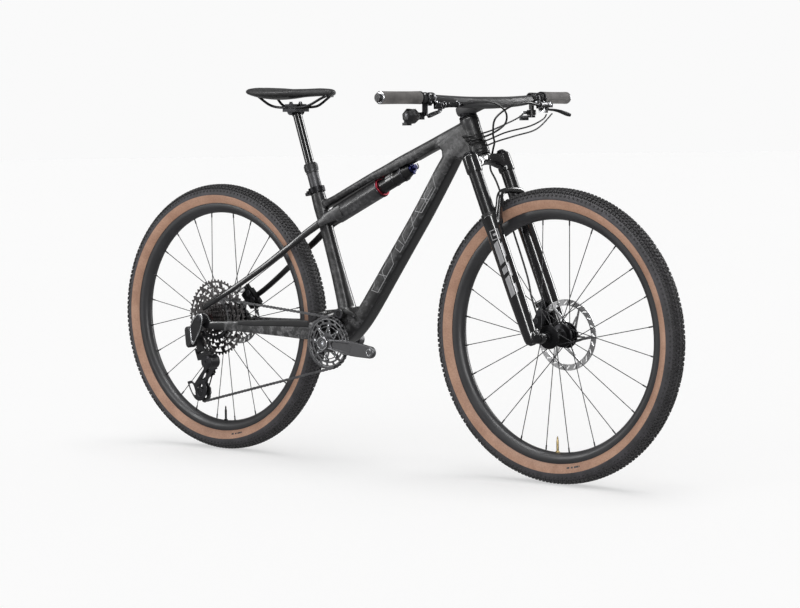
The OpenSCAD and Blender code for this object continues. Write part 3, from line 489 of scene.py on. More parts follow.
class Look:
    """A small builder for one procedural material."""

    def __init__(self, name, color, rough, metal=0.0, coat=0.0, coat_rough=0.05, sheen=0.0, spec=0.5):
        self.mat = bpy.data.materials.new(name)
        self.mat.use_nodes = True
        self.mat.diffuse_color = (*color, 1)
        self.nt = self.mat.node_tree
        self.shader = self.nt.nodes["Principled BSDF"]
        self.put("Base Color", (*color, 1))
        self.put("Roughness", rough)
        self.put("Metallic", metal)
        self.put("Coat Weight", coat)
        self.put("Coat Roughness", coat_rough)
        self.put("Sheen Weight", sheen)
        self.put("Specular IOR Level", spec)
        self.coords = self.nt.nodes.new("ShaderNodeTexCoord").outputs["Object"]
        self.normal = None

    def put(self, socket, value):
        self.shader.inputs[socket].default_value = value

    def link(self, out, socket):
        self.nt.links.new(out, self.shader.inputs[socket])

    def node(self, kind, inputs):
        """A new node, each input set to a value or linked to another node's output."""
        n = self.nt.nodes.new("ShaderNode" + kind)
        for key, x in inputs.items():
            if isinstance(x, bpy.types.NodeSocket):
                self.nt.links.new(x, n.inputs[key])
            else:
                n.inputs[key].default_value = x
        return n

    def mapped(self, scale):
        return self.node("Mapping", {"Scale": scale, "Vector": self.coords}).outputs["Vector"]

    def noise(self, scale, detail=3.0, rough=0.55, distortion=0.0, at=None):
        return self.node("TexNoise", {
            "Scale": scale, "Detail": detail, "Roughness": rough, "Distortion": distortion,
            "Vector": at or self.coords,
        }).outputs["Fac"]

    def cells(self, scale, out="Distance"):
        return self.node("TexVoronoi", {"Scale": scale, "Vector": self.coords}).outputs[out]

    def math(self, operation, a, b):
        n = self.node("Math", {0: a, 1: b})
        n.operation = operation
        return n.outputs[0]

    def ramp(self, fac, stops):
        """Two colors with a ramp between their places."""
        n = self.node("ValToRGB", {0: fac})
        for element, (place, color) in zip(n.color_ramp.elements, stops):
            element.position = place
            element.color = (*color, 1)
        return n.outputs["Color"]

    def mix(self, fac, a, b):
        n = self.node("Mix", {0: fac, 6: (*a, 1), 7: (*b, 1)})
        n.data_type = "RGBA"
        return n.outputs[2]

    def range(self, x, a, b, c=0.0, d=1.0):
        """x taken from the span a..b to the span c..d."""
        return self.node("MapRange", {0: x, 1: a, 2: b, 3: c, 4: d}).outputs[0]

    def bump(self, height, strength, distance=0.001):
        """One more bump on top of those already there."""
        inputs = {"Strength": strength, "Distance": distance, "Height": height}
        if self.normal is not None:
            inputs["Normal"] = self.normal
        self.normal = self.node("Bump", inputs).outputs["Normal"]
        self.link(self.normal, "Normal")

    def grain(self, scale, strength, distance=0.0004):
        """Fine all-over bump."""
        self.bump(self.noise(scale), strength, distance)

    def rough_noise(self, scale, low, high):
        self.link(self.range(self.noise(scale), 0.3, 0.7, low, high), "Roughness")

    def tint_noise(self, scale, dark, light, detail=3.0):
        self.link(self.ramp(self.noise(scale, detail), [(0.35, dark), (0.65, light)]), "Base Color")

    def tint_around(self, scale, color, low, high):
        """A cloudy tint between two multiples of a color."""
        c = np.array(color)
        self.tint_noise(scale, tuple(c * low), tuple(c * high))


def paint(name, color, rough=0.25, coat=1.0, coat_rough=0.06, grain=0.03):
    look = Look(name, color, rough, coat=coat, coat_rough=coat_rough)
    look.tint_around(9, color, 0.85, 1.2)
    look.rough_noise(30, rough * 0.85, rough * 1.2)
    look.grain(600, grain, 0.0002)
    return look


def marble(name, dark, light, rough, coat, coat_rough, scale, strength=1.0):
    """Chopped-fibre carbon under a clear coat: irregular dark and grey flakes."""
    look = Look(name, dark, rough, coat=coat, coat_rough=coat_rough)
    cloud = look.range(look.noise(26, 4.0, 0.6, 1.2), 0.42, 0.66)
    flake = look.node("SeparateColor", {0: look.cells(scale, "Color")}).outputs[0]
    chips = look.range(look.cells(scale * 2.7), 0.1, 0.5, 1.0, 0.5)
    pick = look.math("MULTIPLY", look.math("MULTIPLY", flake, cloud), chips)
    pick = look.math("MULTIPLY", pick, strength)
    look.link(look.mix(pick, dark, light), "Base Color")
    look.link(look.range(pick, 0, 1, rough, rough * 0.7), "Roughness")
    look.grain(400, 0.03, 0.0002)
    return look


def anodised(name, color, rough=0.32, grain=0.1, metal=0.85):
    look = Look(name, color, rough, metal=metal)
    look.rough_noise(60, rough * 0.8, rough * 1.25)
    look.grain(1500, grain, 0.00015)
    return look


def brushed(name, color, rough=0.28):
    look = Look(name, color, rough, metal=1.0)
    streaks = look.noise(900, 2.0, 0.5, 0.0, look.mapped((1, 0.05, 1)))
    look.link(look.range(streaks, 0.3, 0.7, rough * 0.8, rough * 1.5), "Roughness")
    look.bump(streaks, 0.08, 0.0001)
    look.tint_around(40, color, 0.85, 1.08)
    return look


def plastic(name, color, rough=0.45, grain=0.25, scale=900):
    look = Look(name, color, rough)
    look.rough_noise(40, rough * 0.9, rough * 1.15)
    look.tint_around(15, color, 0.85, 1.15)
    look.grain(scale, grain, 0.0002)
    return look


def rubber(name, color, rough=0.75, grain=0.5, scale=700):
    look = Look(name, color, rough, sheen=0.15)
    look.rough_noise(50, rough * 0.85, rough * 1.1)
    look.tint_around(35, color, 0.75, 1.3)
    look.grain(scale, grain, 0.0003)
    return look


def saddle_cover_look():
    look = Look("saddle_skin", (0.02, 0.02, 0.021), 0.5, sheen=0.1)
    look.rough_noise(60, 0.42, 0.6)
    look.tint_noise(30, (0.016, 0.016, 0.017), (0.026, 0.026, 0.027))
    look.bump(look.cells(900), 0.25, 0.0002)
    look.bump(look.noise(60, 2.0), 0.06, 0.001)
    return look


def post_gloss_look():
    look = Look("post_gloss", (0.012, 0.012, 0.013), 0.16, coat=1.0, coat_rough=0.03)
    look.rough_noise(30, 0.12, 0.2)
    look.grain(900, 0.02, 0.0001)
    return look


frame_look = paint("frame_gloss", (0.008, 0.008, 0.009), 0.3, coat=0.7, coat_rough=0.07)
frame_marble = marble("frame_forged", (0.016, 0.016, 0.017), (0.2, 0.2, 0.207), 0.45, coat=0.25,
                      coat_rough=0.25,
                      scale=190)
# Painted light: the frame's chopped carbon again, made lighter for the swingarm so its stays look as lit as
# the frame despite lying in shade.
stay_marble_painted_light = marble("stay_forged_painted_light", (0.034, 0.034, 0.035), (0.46, 0.46, 0.47), 0.42, coat=0.35,
                     coat_rough=0.2,
                     scale=190)
satin_carbon = marble("satin_forged", (0.03, 0.03, 0.032), (0.22, 0.22, 0.23), 0.38, coat=0.4,
                      coat_rough=0.2, scale=130, strength=0.8)
fork_look = paint("fork_gloss", (0.009, 0.009, 0.010), 0.2, coat_rough=0.03)
stanchion_look = paint("stanchion_black", (0.008, 0.008, 0.009), 0.3, coat=0.25, coat_rough=0.2)
black_metal = anodised("black_anodised", (0.022, 0.022, 0.024), 0.36)
dark_metal = anodised("dark_anodised", (0.06, 0.06, 0.065), 0.34)
grey_metal = anodised("grey_anodised", (0.16, 0.16, 0.17), 0.35)
silver = brushed("silver_polished", (0.72, 0.73, 0.75), 0.22)
rotor_steel = brushed("rotor_steel", (0.78, 0.78, 0.79), 0.3)
post_metal = anodised("post_dark_grey", (0.10, 0.10, 0.105), 0.42)
crank_look = anodised("crank_grey", (0.135, 0.135, 0.14), 0.45)
chain_steel = brushed("chain_dark_steel", (0.16, 0.16, 0.165), 0.36)
cog_steel = brushed("cog_dark_steel", (0.11, 0.104, 0.104), 0.4)
cog_red = anodised("cog_carrier_red", (0.10, 0.03, 0.03), 0.4)
tooth_steel = brushed("tooth_steel", (0.46, 0.46, 0.47), 0.25)
black_plastic = plastic("black_plastic", (0.018, 0.018, 0.019), 0.42)
hose_skin = plastic("hose_skin", (0.012, 0.012, 0.013), 0.35, 0.05, 400)
tread_rubber = rubber("tread_rubber", (0.026, 0.025, 0.027), 0.72, 0.6, 900)
bar_look = paint("bar_satin", (0.045, 0.045, 0.047), 0.5, coat=0.15, coat_rough=0.4, grain=0.05)
rim_look = paint("rim_satin", (0.033, 0.033, 0.036), 0.42, coat=0.25, coat_rough=0.3, grain=0.05)
spoke_look = anodised("spoke_black", (0.06, 0.06, 0.063), 0.35)
grip_rubber = rubber("grip_rubber", (0.125, 0.117, 0.112), 0.8, 0.8, 1200)
brass = brushed("valve_brass", (0.62, 0.48, 0.24), 0.3)
red_metal = anodised("ring_red", (0.24, 0.02, 0.035), 0.4)
blue_metal = anodised("dial_blue", (0.012, 0.014, 0.07), 0.3)
white_ink = plastic("white_ink", (0.62, 0.62, 0.62), 0.45, 0.02)
grey_ink = plastic("grey_ink", (0.42, 0.42, 0.43), 0.4, 0.02)
silver_ink = anodised("silver_ink", (0.42, 0.42, 0.43), 0.38, 0.02, metal=0.5)
derail_look = plastic("derailleur_black", (0.016, 0.016, 0.018), 0.3, 0.1, 700)
battery_look = plastic("battery_black", (0.02, 0.02, 0.022), 0.4, 0.3, 900)
moulded = plastic("moulded_black", (0.014, 0.014, 0.015), 0.36, 0.15, 700)
lever_metal = anodised("lever_black", (0.05, 0.05, 0.053), 0.3)
master_metal = brushed("master_dark_metal", (0.09, 0.09, 0.095), 0.2)
rail_black = anodised("rail_black", (0.035, 0.035, 0.037), 0.3)
shell_look = paint("saddle_shell_satin", (0.02, 0.02, 0.021), 0.32, coat=0.6, coat_rough=0.15)
saddle_skin = saddle_cover_look()
post_gloss = post_gloss_look()


# ---------------------------------------------------------------- camera, light, floor

ROOM_LIGHT, SEEN_LIGHT = 0.18, 0.955
FLOOR_R, FLOOR_GLOW = 60, 0.52
SUNS = (
    ("sky_top", 1.55, (-4, 3), 45), ("sky_front", 0.85, (52, 20), 70), ("sky_back", 0.3, (-48, -24), 70),
)
STRIPS = (
    ("strip_right", (2.9, -2.6, 1.6), 0.5, 2.6, 70), ("strip_left", (-2.6, -3.0, 1.9), 0.6, 2.6, 60),
    ("strip_far", (1.2, 3.4, 1.6), 0.7, 2.8, 70), ("strip_above", (0.2, -1.2, 3.4), 3.2, 1.0, 90),
)


def make_camera():
    """The photo's view: where the camera stands, how it is turned, and its lens."""
    yaw, pitch, roll = math.radians(39.61), math.radians(4.437), -0.0112
    eye = Vector((4.0803, -4.8552, 0.91085))
    ahead = Vector((-math.sin(yaw) * math.cos(pitch), math.cos(yaw) * math.cos(pitch), -math.sin(pitch)))
    level = ahead.cross(Vector((0, 0, 1))).normalized()
    above = level.cross(ahead)
    right = level * math.cos(roll) + above * math.sin(roll)
    up = -level * math.sin(roll) + above * math.cos(roll)
    camera = added("camera", bpy.data.cameras.new("camera"))
    m = Matrix.Identity(4)
    for i, column in enumerate((right, up, -ahead, eye)):
        for k in range(3):
            m[k][i] = column[k]
    camera.matrix_world = m
    camera.data.sensor_width = 36
    camera.data.lens = 107.89
    camera.data.shift_x = 0.00135
    camera.data.shift_y = 0.00504
    camera.data.clip_end = 200
    bpy.context.scene.camera = camera


def area_light(name, place, width, height, power):
    """A rectangular lamp aimed at the middle of the bike."""
    light = bpy.data.lights.new(name, "AREA")
    light.shape = "RECTANGLE"
    light.size = width
    light.size_y = height
    light.energy = power
    o = added(name, light)
    o.location = place
    o.rotation_euler = (Vector((0, 0, 0.5)) - Vector(place)).to_track_quat("-Z", "Y").to_euler()
    o.visible_diffuse = False


def make_world():
    """Pale surroundings: the camera sees near-white, while a dimmer room lights the bike."""
    world = bpy.data.worlds.new("studio")
    bpy.context.scene.world = world
    world.use_nodes = True
    nt = world.node_tree
    room = nt.nodes["Background"]
    seen = nt.nodes.new("ShaderNodeBackground")
    for background, strength in ((room, ROOM_LIGHT), (seen, SEEN_LIGHT)):
        background.inputs[0].default_value = (1, 1, 1, 1)
        background.inputs[1].default_value = strength
    path = nt.nodes.new("ShaderNodeLightPath")
    mix = nt.nodes.new("ShaderNodeMixShader")
    nt.links.new(path.outputs["Is Camera Ray"], mix.inputs[0])
    nt.links.new(room.outputs[0], mix.inputs[1])
    nt.links.new(seen.outputs[0], mix.inputs[2])
    nt.links.new(mix.outputs[0], nt.nodes["World Output"].inputs[0])


def make_lamps():
    """Wide soft suns without mirror images, and strips that only shine in the reflections."""
    for name, energy, tilt, spread in SUNS:
        light = bpy.data.lights.new(name, "SUN")
        light.energy = energy
        light.angle = math.radians(spread)
        o = added(name, light)
        o.rotation_euler = (math.radians(tilt[0]), math.radians(tilt[1]), 0)
        o.visible_glossy = False
    for strip in STRIPS:
        area_light(*strip)


def make_floor():
    mesh = bpy.data.meshes.new("floor")
    ring = circle_loop((0, 0), FLOOR_R, 64)
    mesh.from_pydata([(x, y, 0) for x, y in ring], [], [tuple(range(64))])
    floor = added("floor", mesh)
    look = Look("floor_white", (0.5, 0.5, 0.5), 1.0, spec=0.0)
    look.tint_noise(0.6, (0.498, 0.498, 0.498), (0.502, 0.502, 0.502), 2.0)
    look.put("Emission Color", (1, 1, 1, 1))
    look.put("Emission Strength", FLOOR_GLOW)
    mesh.materials.append(look.mat)
    floor.visible_glossy = False


make_camera()
make_world()
make_lamps()
make_floor()
bpy.context.scene.view_settings.view_transform = "Standard"


# ---------------------------------------------------------------- wheels

TYRE_R = FRONT[2]
RIM_INNER = 293.0
FRONT_ROTOR_Y, REAR_ROTOR_Y = 42.0, 58.5
TAN_FROM, TAN_TO = 319.4, 341.5  # radii of the tan sidewall
# Half of the tyre's outer skin, from the top to the bead: (radius, y).
CARCASS = [
    (TYRE_R - 4.3, 0), (TYRE_R - 4.7, 7), (TYRE_R - 6.7, 14), (TYRE_R - 10.6, 20.5), (TYRE_R - 16.6, 25.4),
    (TYRE_R - 24, 28.2), (345, 29.2), (338.5, 28.9), (331, 26.8), (325, 23.4), (321, 20.2), (319.2, 18.2),
]
# Outlines of the tread blocks: (along, across).
CENTRE_BLOCK = [(-3.1, -3.9), (2.2, -4.1), (3.3, -1.6), (3.3, 2.4), (1.0, 3.9), (-3.1, 3.2)]
MID_BLOCK = [(-3.6, -3.0), (3.4, -2.2), (3.0, 3.0), (-1.2, 3.5), (-3.4, 1.4)]
OUTER_BLOCK = [
    (-4.8, -3.6), (4.8, -3.6), (4.8, 3.4), (2.3, 3.4), (1.7, 0.0), (-1.7, 0.0), (-2.3, 3.4), (-4.8, 3.4),
]
SIDE_BLOCK = [(-2.6, -2.2), (2.6, -2.2), (2.2, 2.2), (-2.2, 2.2)]
# One row of tread blocks: how far from the middle, how many, their offset, the outline and its height.
TREAD_ROWS = [
    (5.6, 206, 0.0, CENTRE_BLOCK, 4.2), (13.8, 206, 0.5, MID_BLOCK, 4.1),
    (21.0, 172, 0.0, OUTER_BLOCK, 4.2),
    (26.2, 172, 0.5, SIDE_BLOCK, 2.6),
]
# Turned hub shells: (place along the axle, radius), from the right end to the left one.
FRONT_HUB = [
    (-54.7, 7.6), (-54.7, 9.4), (-54.2, 10), (-46.5, 10.4), (-46, 11), (-45.6, 14.6), (-41.2, 15),
    (-40.6, 19.4), (-37.4, 29.4), (-36.6, 30), (-31.6, 30), (-30.6, 29), (-28, 18.6), (-22, 14.6),
    (-14, 13), (6, 13), (12, 14.4), (16, 18), (18.6, 29), (19.6, 30), (24.6, 30), (25.4, 29.4),
    (28, 21), (30, 18.9), (46.4, 18.9), (46.6, 11.4), (54.2, 10), (54.7, 9.4), (54.7, 7.6),
]
REAR_HUB = [
    (-26, 6.1), (-26, 20), (-24, 25), (-22, 31), (-16.4, 31), (-15.4, 30), (-12, 18.6), (-6, 15.8),
    (0, 15), (18, 15), (24, 17), (28, 20.6), (31, 30.2), (32, 31), (36.4, 31), (37.4, 30), (40, 22.4),
    (45, 18.9), (63, 18.9), (63.2, 12), (73.2, 10.4), (73.7, 10), (73.7, 6.1),
]


def around(centre, rows):
    """Turned shape about a wheel axis from closed (radius, y) rows."""
    return lathe(centre, (0, 1, 0), [(y, r) for r, y in rows], 256, closed=True)


def mirrored_rows(half):
    """Full closed profile from a half one that starts and ends on the middle plane."""
    return half + [(r, -y) for r, y in reversed(half) if abs(y) > 1e-6]


def carcass_looks(name):
    """Black tread rubber, and the tan cloth of the sidewalls."""
    black = Look(name + "_black", (0.04, 0.038, 0.043), 0.62, sheen=0.2)
    black.tint_noise(30, (0.034, 0.033, 0.037), (0.058, 0.054, 0.062))
    black.grain(900, 0.35, 0.0003)
    tan = Look(name + "_tan", (0.56, 0.33, 0.225), 0.62)
    fibre, cloud = tan.noise(260, 3.0, 0.6), tan.noise(22)
    tone = tan.math("ADD", tan.math("MULTIPLY", fibre, 0.5), tan.math("MULTIPLY", cloud, 0.5))
    tan.link(tan.ramp(tone, [(0.36, (0.40, 0.215, 0.14)), (0.64, (0.56, 0.33, 0.225))]), "Base Color")
    tan.bump(fibre, 0.25, 0.0003)
    return [black, tan]


def knob(outline, height, shrink=0.8):
    """A tread block: outline of (along, across) points, raised and slightly tapered."""
    o = np.array(outline, float)
    centre = o.mean(0)
    low = np.column_stack([o, np.full(len(o), -1.2)])
    mid = np.column_stack([centre + (o - centre) * (1 + shrink) / 2, np.full(len(o), height - 0.5)])
    top = np.column_stack([centre + (o - centre) * shrink * 0.92, np.full(len(o), height)])
    return skin([low, mid, top])


def tread(centre):
    """Rows of tread blocks laid round the carcass."""
    profile = spline(CARCASS, 12)
    widest = int(np.argmax(profile[:, 1]))
    vs, fs, n = [], [], 0
    for lateral, count, phase, outline, height in TREAD_ROWS:
        i = int(np.argmin(abs(profile[:widest, 1] - lateral)))
        r0, y0 = profile[i]
        t = unit(profile[min(i + 1, len(profile) - 1)] - profile[i - 1])
        normal = np.array([-t[1], t[0]]) if t[1] < 0 else np.array([t[1], -t[0]])
        v, f = knob(outline, height)
        for side in (-1, 1):
            for k in range(count):
                a = (k + phase) * 2 * math.pi / count + v[:, 0] / r0
                r = r0 + v[:, 1] * t[0] + v[:, 2] * normal[0]
                y = side * (y0 + v[:, 1] * t[1] + v[:, 2] * normal[1])
                vs.append(np.column_stack([centre[0] + r * np.cos(a), y, centre[2] + r * np.sin(a)]))
                face = [tuple(q + n for q in g) for g in f]
                fs += [tuple(reversed(g)) for g in face] if side < 0 else face
                n += len(v)
    return np.concatenate(vs), fs


def sidewall_marks(centre):
    """Small plain dark dashes moulded on the tan sidewall."""
    shapes = []
    for side in (-1, 1):
        for start, width in ((-82, 1.5), (-79.6, 1.0), (-78, 2.4), (-75.4, 0.5)):
            points = []
            for r in (327.0, 331.0):
                y = side * (25.45 + (r - 327) * 0.37 + 0.08)
                points += [round_point(centre, r, math.radians(b)) + [0, y, 0]
                           for b in np.linspace(start, start + width, 6)]
            shapes.append((np.array(points), [(i, i + 1, i + 7, i + 6) for i in range(5)]))
    return shapes


def make_tyre(name, centre, body):
    outer = [tuple(p) for p in spline(CARCASS, 4)]
    inner = [(322.5, 17.4), (333, 24.6), (345, 25.8), (357, 22), (364, 11), (365.5, 0)]
    v, f = around(centre, mirrored_rows(outer + inner))
    middles = [v[list(q)].mean(0) for q in f]
    radii = [math.hypot(c[0] - centre[0], c[2] - centre[2]) for c in middles]
    o = new_object(name + "_carcass", [(v, f)], carcass_looks(name))
    o.data.polygons.foreach_set("material_index", [1 if TAN_FROM < r < TAN_TO else 0 for r in radii])
    settle(o, body, (name,), 60)
    piece(name + "_tread", [tread(centre)], tread_rubber, body, (name,), angle=30)
    piece(name + "_mark", sidewall_marks(centre), black_plastic, body)


def make_rim(name, centre, body):
    """A deep carbon rim: a hooked tyre seat, and a rounded inner side."""
    seat = [(311.5, 0), (309, 7), (311.3, 11), (311.3, 15.2), (318.4, 15.2), (319.0, 15.8), (319.0, 17.4)]
    flank = [
        (318.4, 18.0), (312, 18.3), (306, 17.6), (301, 15.3), (296.5, 11.4), (294.0, 7.2), (292.6, 3.2),
        (292.0, 0),
    ]
    fine = [tuple(p) for p in spline(flank, 4)]
    piece(name, [around(centre, mirrored_rows(seat + fine))], rim_look, body, (name,), angle=30)


def make_valve(name, centre, body, look):
    """A threaded valve stem with its nut and cap."""
    foot = centre + np.array([0, 0, -RIM_INNER - 0.5])
    stem = [(-1, 3.0), (30, 3.0), (31, 2.6), (32, 2.2), (38, 2.2), (38.5, 1.4), (41, 1.4)]
    parts = [tube_ring(foot, (0, 0, 1), 0, 4.2, 3.0, 5.2, 0.5, 6), lathe(foot, (0, 0, 1), stem, 24)]
    parts += [tube_ring(foot, (0, 0, 1), 8 + k * 1.8, 8.9 + k * 1.8, 2.9, 3.25, 0.2, 24) for k in range(12)]
    piece(name, parts, look, body)


def make_rotor(name, centre, y, body):
    """A drilled braking ring on slanted arms, and the carrier in its middle."""
    low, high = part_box(name)
    r = float(high.x - low.x) / 2 / MM
    inner = r - 15.5
    at = shift(centre[0], y, centre[2])
    loops = [circle_loop((0, 0), r, 180), circle_loop((0, 0), inner, 144)]
    loops += [slot_loop(polar(r - 4.4, a), polar(r - 11.5, a + 0.09), 1.5, n=8) for a in spaced(24)]
    shapes = [moved(plate(loops, -0.9, 0.9, 0.15), at)]
    for a in spaced(6):
        arm = slot_loop(polar(29, a - 0.55), polar(inner + 2.5, a), 3.6, 2.6)
        brace = slot_loop(polar(29, a - 0.1), polar(r - 34, a - 0.05), 2.6, 2.0)
        shapes.append(moved(plate([arm], -0.8, 0.8, 0.15), at))
        shapes.append(moved(plate([brace], -0.75, 0.75, 0.15), at))
    piece(name + "_blade", shapes, rotor_steel, body, (name,))
    spider = [circle_loop((0, 0), 33, 72), circle_loop((0, 0), 19.2, 48)]
    spider += [circle_loop(polar(26.5, a), 3.0, 20) for a in spaced(6, 0.5)]
    axis = np.array([centre[0], y, centre[2]])
    parts = [
        moved(plate(spider, -1.5, 1.5, 0.4), at),
        tube_ring(axis, (0, 1, 0), -3.4, -1.4, 19.1, 26, 0.5),
        tube_ring(axis, (0, 1, 0), 1.4, 4.4, 19.1, 25, 0.8),
    ]
    parts += [pin(round_point(axis, 25, a), 1.4, 4.0, 1.6, sides=10) for a in spaced(16)]
    parts += [pin(round_point(axis, 30.5, a), -1.9, 1.9, 2.6, sides=16) for a in spaced(6)]
    piece(name + "_carrier", parts, black_metal, body)


def make_hub(name, centre, body, rows, flanges):
    """A turned hub shell with a row of spoke holes round each flange."""
    parts = [lathe(centre, (0, 1, 0), rows, 96, closed=True)]
    for y, r in flanges:
        parts += [pin(round_point(centre, r, a), y - 3.6, y + 3.6, 1.9, sides=12) for a in spaced(12)]
    piece(name, parts, black_metal, body, (name,), angle=30)


for side_name, wheel_centre, valve_look in (("front", FRONT, brass), ("rear", REAR, black_metal)):
    wheel_body = side_name + "_wheel"
    make_tyre(side_name + "_tyre", wheel_centre, wheel_body)
    make_rim(side_name + "_rim", wheel_centre, wheel_body)
    make_valve(side_name + "_valve", wheel_centre, wheel_body, valve_look)

make_rotor("front_disc", FRONT, FRONT_ROTOR_Y, "front_wheel")
make_rotor("rear_disc", REAR, REAR_ROTOR_Y, "rear_wheel")
make_hub("front_hub", FRONT, "front_wheel", FRONT_HUB, [(-34.1, 26.6), (22.1, 26.6)])
make_hub("rear_hub", REAR, "rear_wheel", REAR_HUB, [(-19, 28), (34, 28)])
keep("front_spokes", spoke_look)
keep("rear_spokes", spoke_look)


# ---------------------------------------------------------------- frame

DOWN_TUBE = [
    [270, 0, 849, 22, 19, 3.4], [226, 0, 786, 25, 21, 4], [155, 0, 681, 26, 21, 4],
    [98, 0, 602, 26, 21, 4], [39, 0, 521, 27, 21, 4], [-20, 0, 440, 28, 21, 4],
    [-50, 0, 401, 29, 21, 4], [-78, 0, 371, 30, 22, 4], [-109, 0, 345, 32, 22, 4],
    [-146, 0, 327, 34, 20, 4],
]
TOP_TUBE = [
    [-186, 0, 692, 18, 12, 3], [-150, 0, 706, 22, 10, 3.2], [-100, 0, 728, 25, 10, 3.4],
    [-59, 0, 746.5, 25, 10.5, 3.4], [-10, 0, 768, 24, 12, 3.4], [40, 0, 787, 22, 15, 3.4],
    [80, 0, 804, 21, 16.5, 3.4], [120, 0, 821.5, 20, 16, 3.4], [187, 0, 850, 20, 15.5, 3.4],
    [235, 0, 869, 21, 17, 3.4], [290, 0, 888, 22, 21, 3.4],
]
SEAT_TUBE = [
    [-86, 0, 382, 26, 24, 3.4], [-113, 0, 404, 25, 21, 3.4], [-124, 0, 435, 22, 20, 3],
    [-150, 0, 515, 18, 18.5, 2.6], [-183, 0, 615, 17.5, 18, 2.2], [-205.7, 0, 684.5, 19, 20, 2.2],
    [-218, 0, 722, 19, 19, 2],
]
HEAD_LOW = 509
GUSSET = np.array([
    [205, 850], [226, 836], [229, 803], [246, 797], [300, 838], [318, 868], [300, 896], [262, 884],
])
HEAD_FLANK = np.array([[14, 513], [14, 603], [-34, 601], [-78, 566], [-62, 520], [-26, 509]])
# Shares of the down tube's length where each mark starts and ends, and how far it leans.
DOWN_TUBE_MARKS = (
    (0.06, 0.20, 0.05), (0.235, 0.32, -0.04), (0.36, 0.50, 0.05), (0.545, 0.60, 0.0), (0.64, 0.78, 0.05),
    (0.815, 0.93, -0.03),
)


def make_frame():
    groove = turned(strut_at, -174, [(0, 28.2), (228, 28.2)])
    nose = turned(strut_at, 50, [(0, 20.5), (92, 20.5)])
    head = turned(steer_at, HEAD_LOW, [
        (0, 23.6), (1.5, 25.2), (12, 25.6), (30, 24), (70, 23.4), (88, 24.8), (97, 24.6), (99, 23)], 64)
    gusset = plate([GUSSET], -22.5, 22.5, 4.0)
    flank = moved(plate([HEAD_FLANK], -22.0, 22.0, 4.5), steer_at)
    shell = pin(CRANK, -36.5, 36.5, 25.5, chamfer=2, sides=64)
    pivot = pin(PIVOT, -26, 26, 16, chamfer=2, sides=64)
    down, top, seat = (loft(rows, sides=48, steps=8) for rows in (DOWN_TUBE, TOP_TUBE, SEAT_TUBE))
    shapes = [down, cut(top, groove, nose), cut(seat, groove), head, flank, gusset, shell, pivot]
    post_bore = turned(post_at, -150, [(0, 12.9), (90, 12.9), (90, 15.85), (250, 15.85)])
    o = fused("frame_shell", shapes, 2.2, 8, [frame_look, frame_marble], "frame",
              ("front_triangle",), cutters=(post_bore,))
    sides = [1 if abs(p.normal.y) > 0.55 else 0 for p in o.data.polygons]
    o.data.polygons.foreach_set("material_index", sides)
    return o


frame_shell = make_frame()
shell_tree = BVHTree.FromObject(frame_shell, bpy.context.evaluated_depsgraph_get())


def on_shell(x, z, side, lift=0.12):
    """The point just outside the frame's side wall at (x, z), or None beside the frame."""
    start = Vector((x, side * 120, z)) * MM
    hit, normal, _, _ = shell_tree.ray_cast(start, Vector((0, -side, 0)))
    if hit is None:
        return None
    return np.array(hit + normal * lift * MM) / MM


def side_line(points, width, side, closed=True, step=2.5):
    """A thin flat line drawn on the frame's side wall through (x, z) points, with mitred corners."""
    pts = np.array(points, float)
    n = len(pts)
    corners = []
    for i in range(n):
        before, here, after = pts[(i - 1) % n], pts[i], pts[(i + 1) % n]
        a, b = unit(here - before), unit(after - here)
        if not closed and i == 0:
            a = b
        if not closed and i == n - 1:
            b = a
        normal = unit(np.array([-(a + b)[1], (a + b)[0]]))
        scale = 1 / max(0.35, float(np.dot(normal, [-a[1], a[0]])))
        corners.append((here + normal * width / 2 * scale, here - normal * width / 2 * scale))
    vs, fs = [], []
    for i in range(n if closed else n - 1):
        (p0, p1), (q0, q1) = corners[i], corners[(i + 1) % n]
        count = max(1, int(np.linalg.norm(q0 - p0) / step))
        shares = [k / count for k in range(count + 1)]
        rows = [(on_shell(*(p0 + (q0 - p0) * t), side),
                 on_shell(*(p1 + (q1 - p1) * t), side)) for t in shares]
        for row, following in zip(rows, rows[1:]):
            quad = [*row, following[1], following[0]]
            if any(v is None for v in quad):
                continue
            face = tuple(range(len(vs), len(vs) + 4))
            vs += quad
            fs.append(face if side < 0 else face[::-1])
    return np.array(vs), fs


def down_tube_point(s, across):
    """Point of the side view, s from 0 at the top to 1 at the bottom of the down tube, across -1..1."""
    low, high = np.array([-20.0, 440.0]), np.array([226.0, 786.0])
    square_to_tube, half_height = np.array([-0.815, 0.579]), 15.5
    return high + (low - high) * s + square_to_tube * across * half_height


def make_frame_graphics():
    """Plain outlined slanted shapes along both sides of the down tube."""
    shapes = []
    for side in (-1, 1):
        for a, b, skew in DOWN_TUBE_MARKS:
            middle = (a + b) / 2
            corners = [(a + skew, -0.85), (a, 0.85), (middle, 0.85), (middle + 0.015, 0.45), (b, 0.45),
                       (b + skew * 0.6, -0.85)]
            shapes.append(side_line([down_tube_point(*c) for c in corners], 1.5, side))
        ends = [down_tube_point(s, -0.35) for s in (0.12, 0.42)]
        shapes.append(side_line(ends, 1.0, side, closed=False))
    piece("frame_graphics", shapes, grey_ink, "frame")


def make_shock_details():
    """The sealing ring, the white label and the collars of the shock strut."""
    seal = band(strut_at, 2.5, 7.0, STRUT_R + 0.1, 25.0, 0.9)
    piece("strut_red_ring", [seal], red_metal, "shock_sleeve")
    label, r = [], STRUT_R + 0.04
    for start, end in ((-150, -120), (-110, -95)):
        points = [(*polar(r, math.radians(a)), z) for z in (34, 62) for a in np.linspace(start, end, 8)]
        label.append(moved((np.array(points), [(i, i + 1, i + 9, i + 8) for i in range(7)]), strut_at))
    piece("strut_label", label, white_ink, "frame")
    collars = [band(strut_at, 84, 93, 19.05, 21.2, 0.8), band(strut_at, 54, 57, 19.05, 20.2, 0.4)]
    piece("strut_collars", collars, dark_metal, "frame")


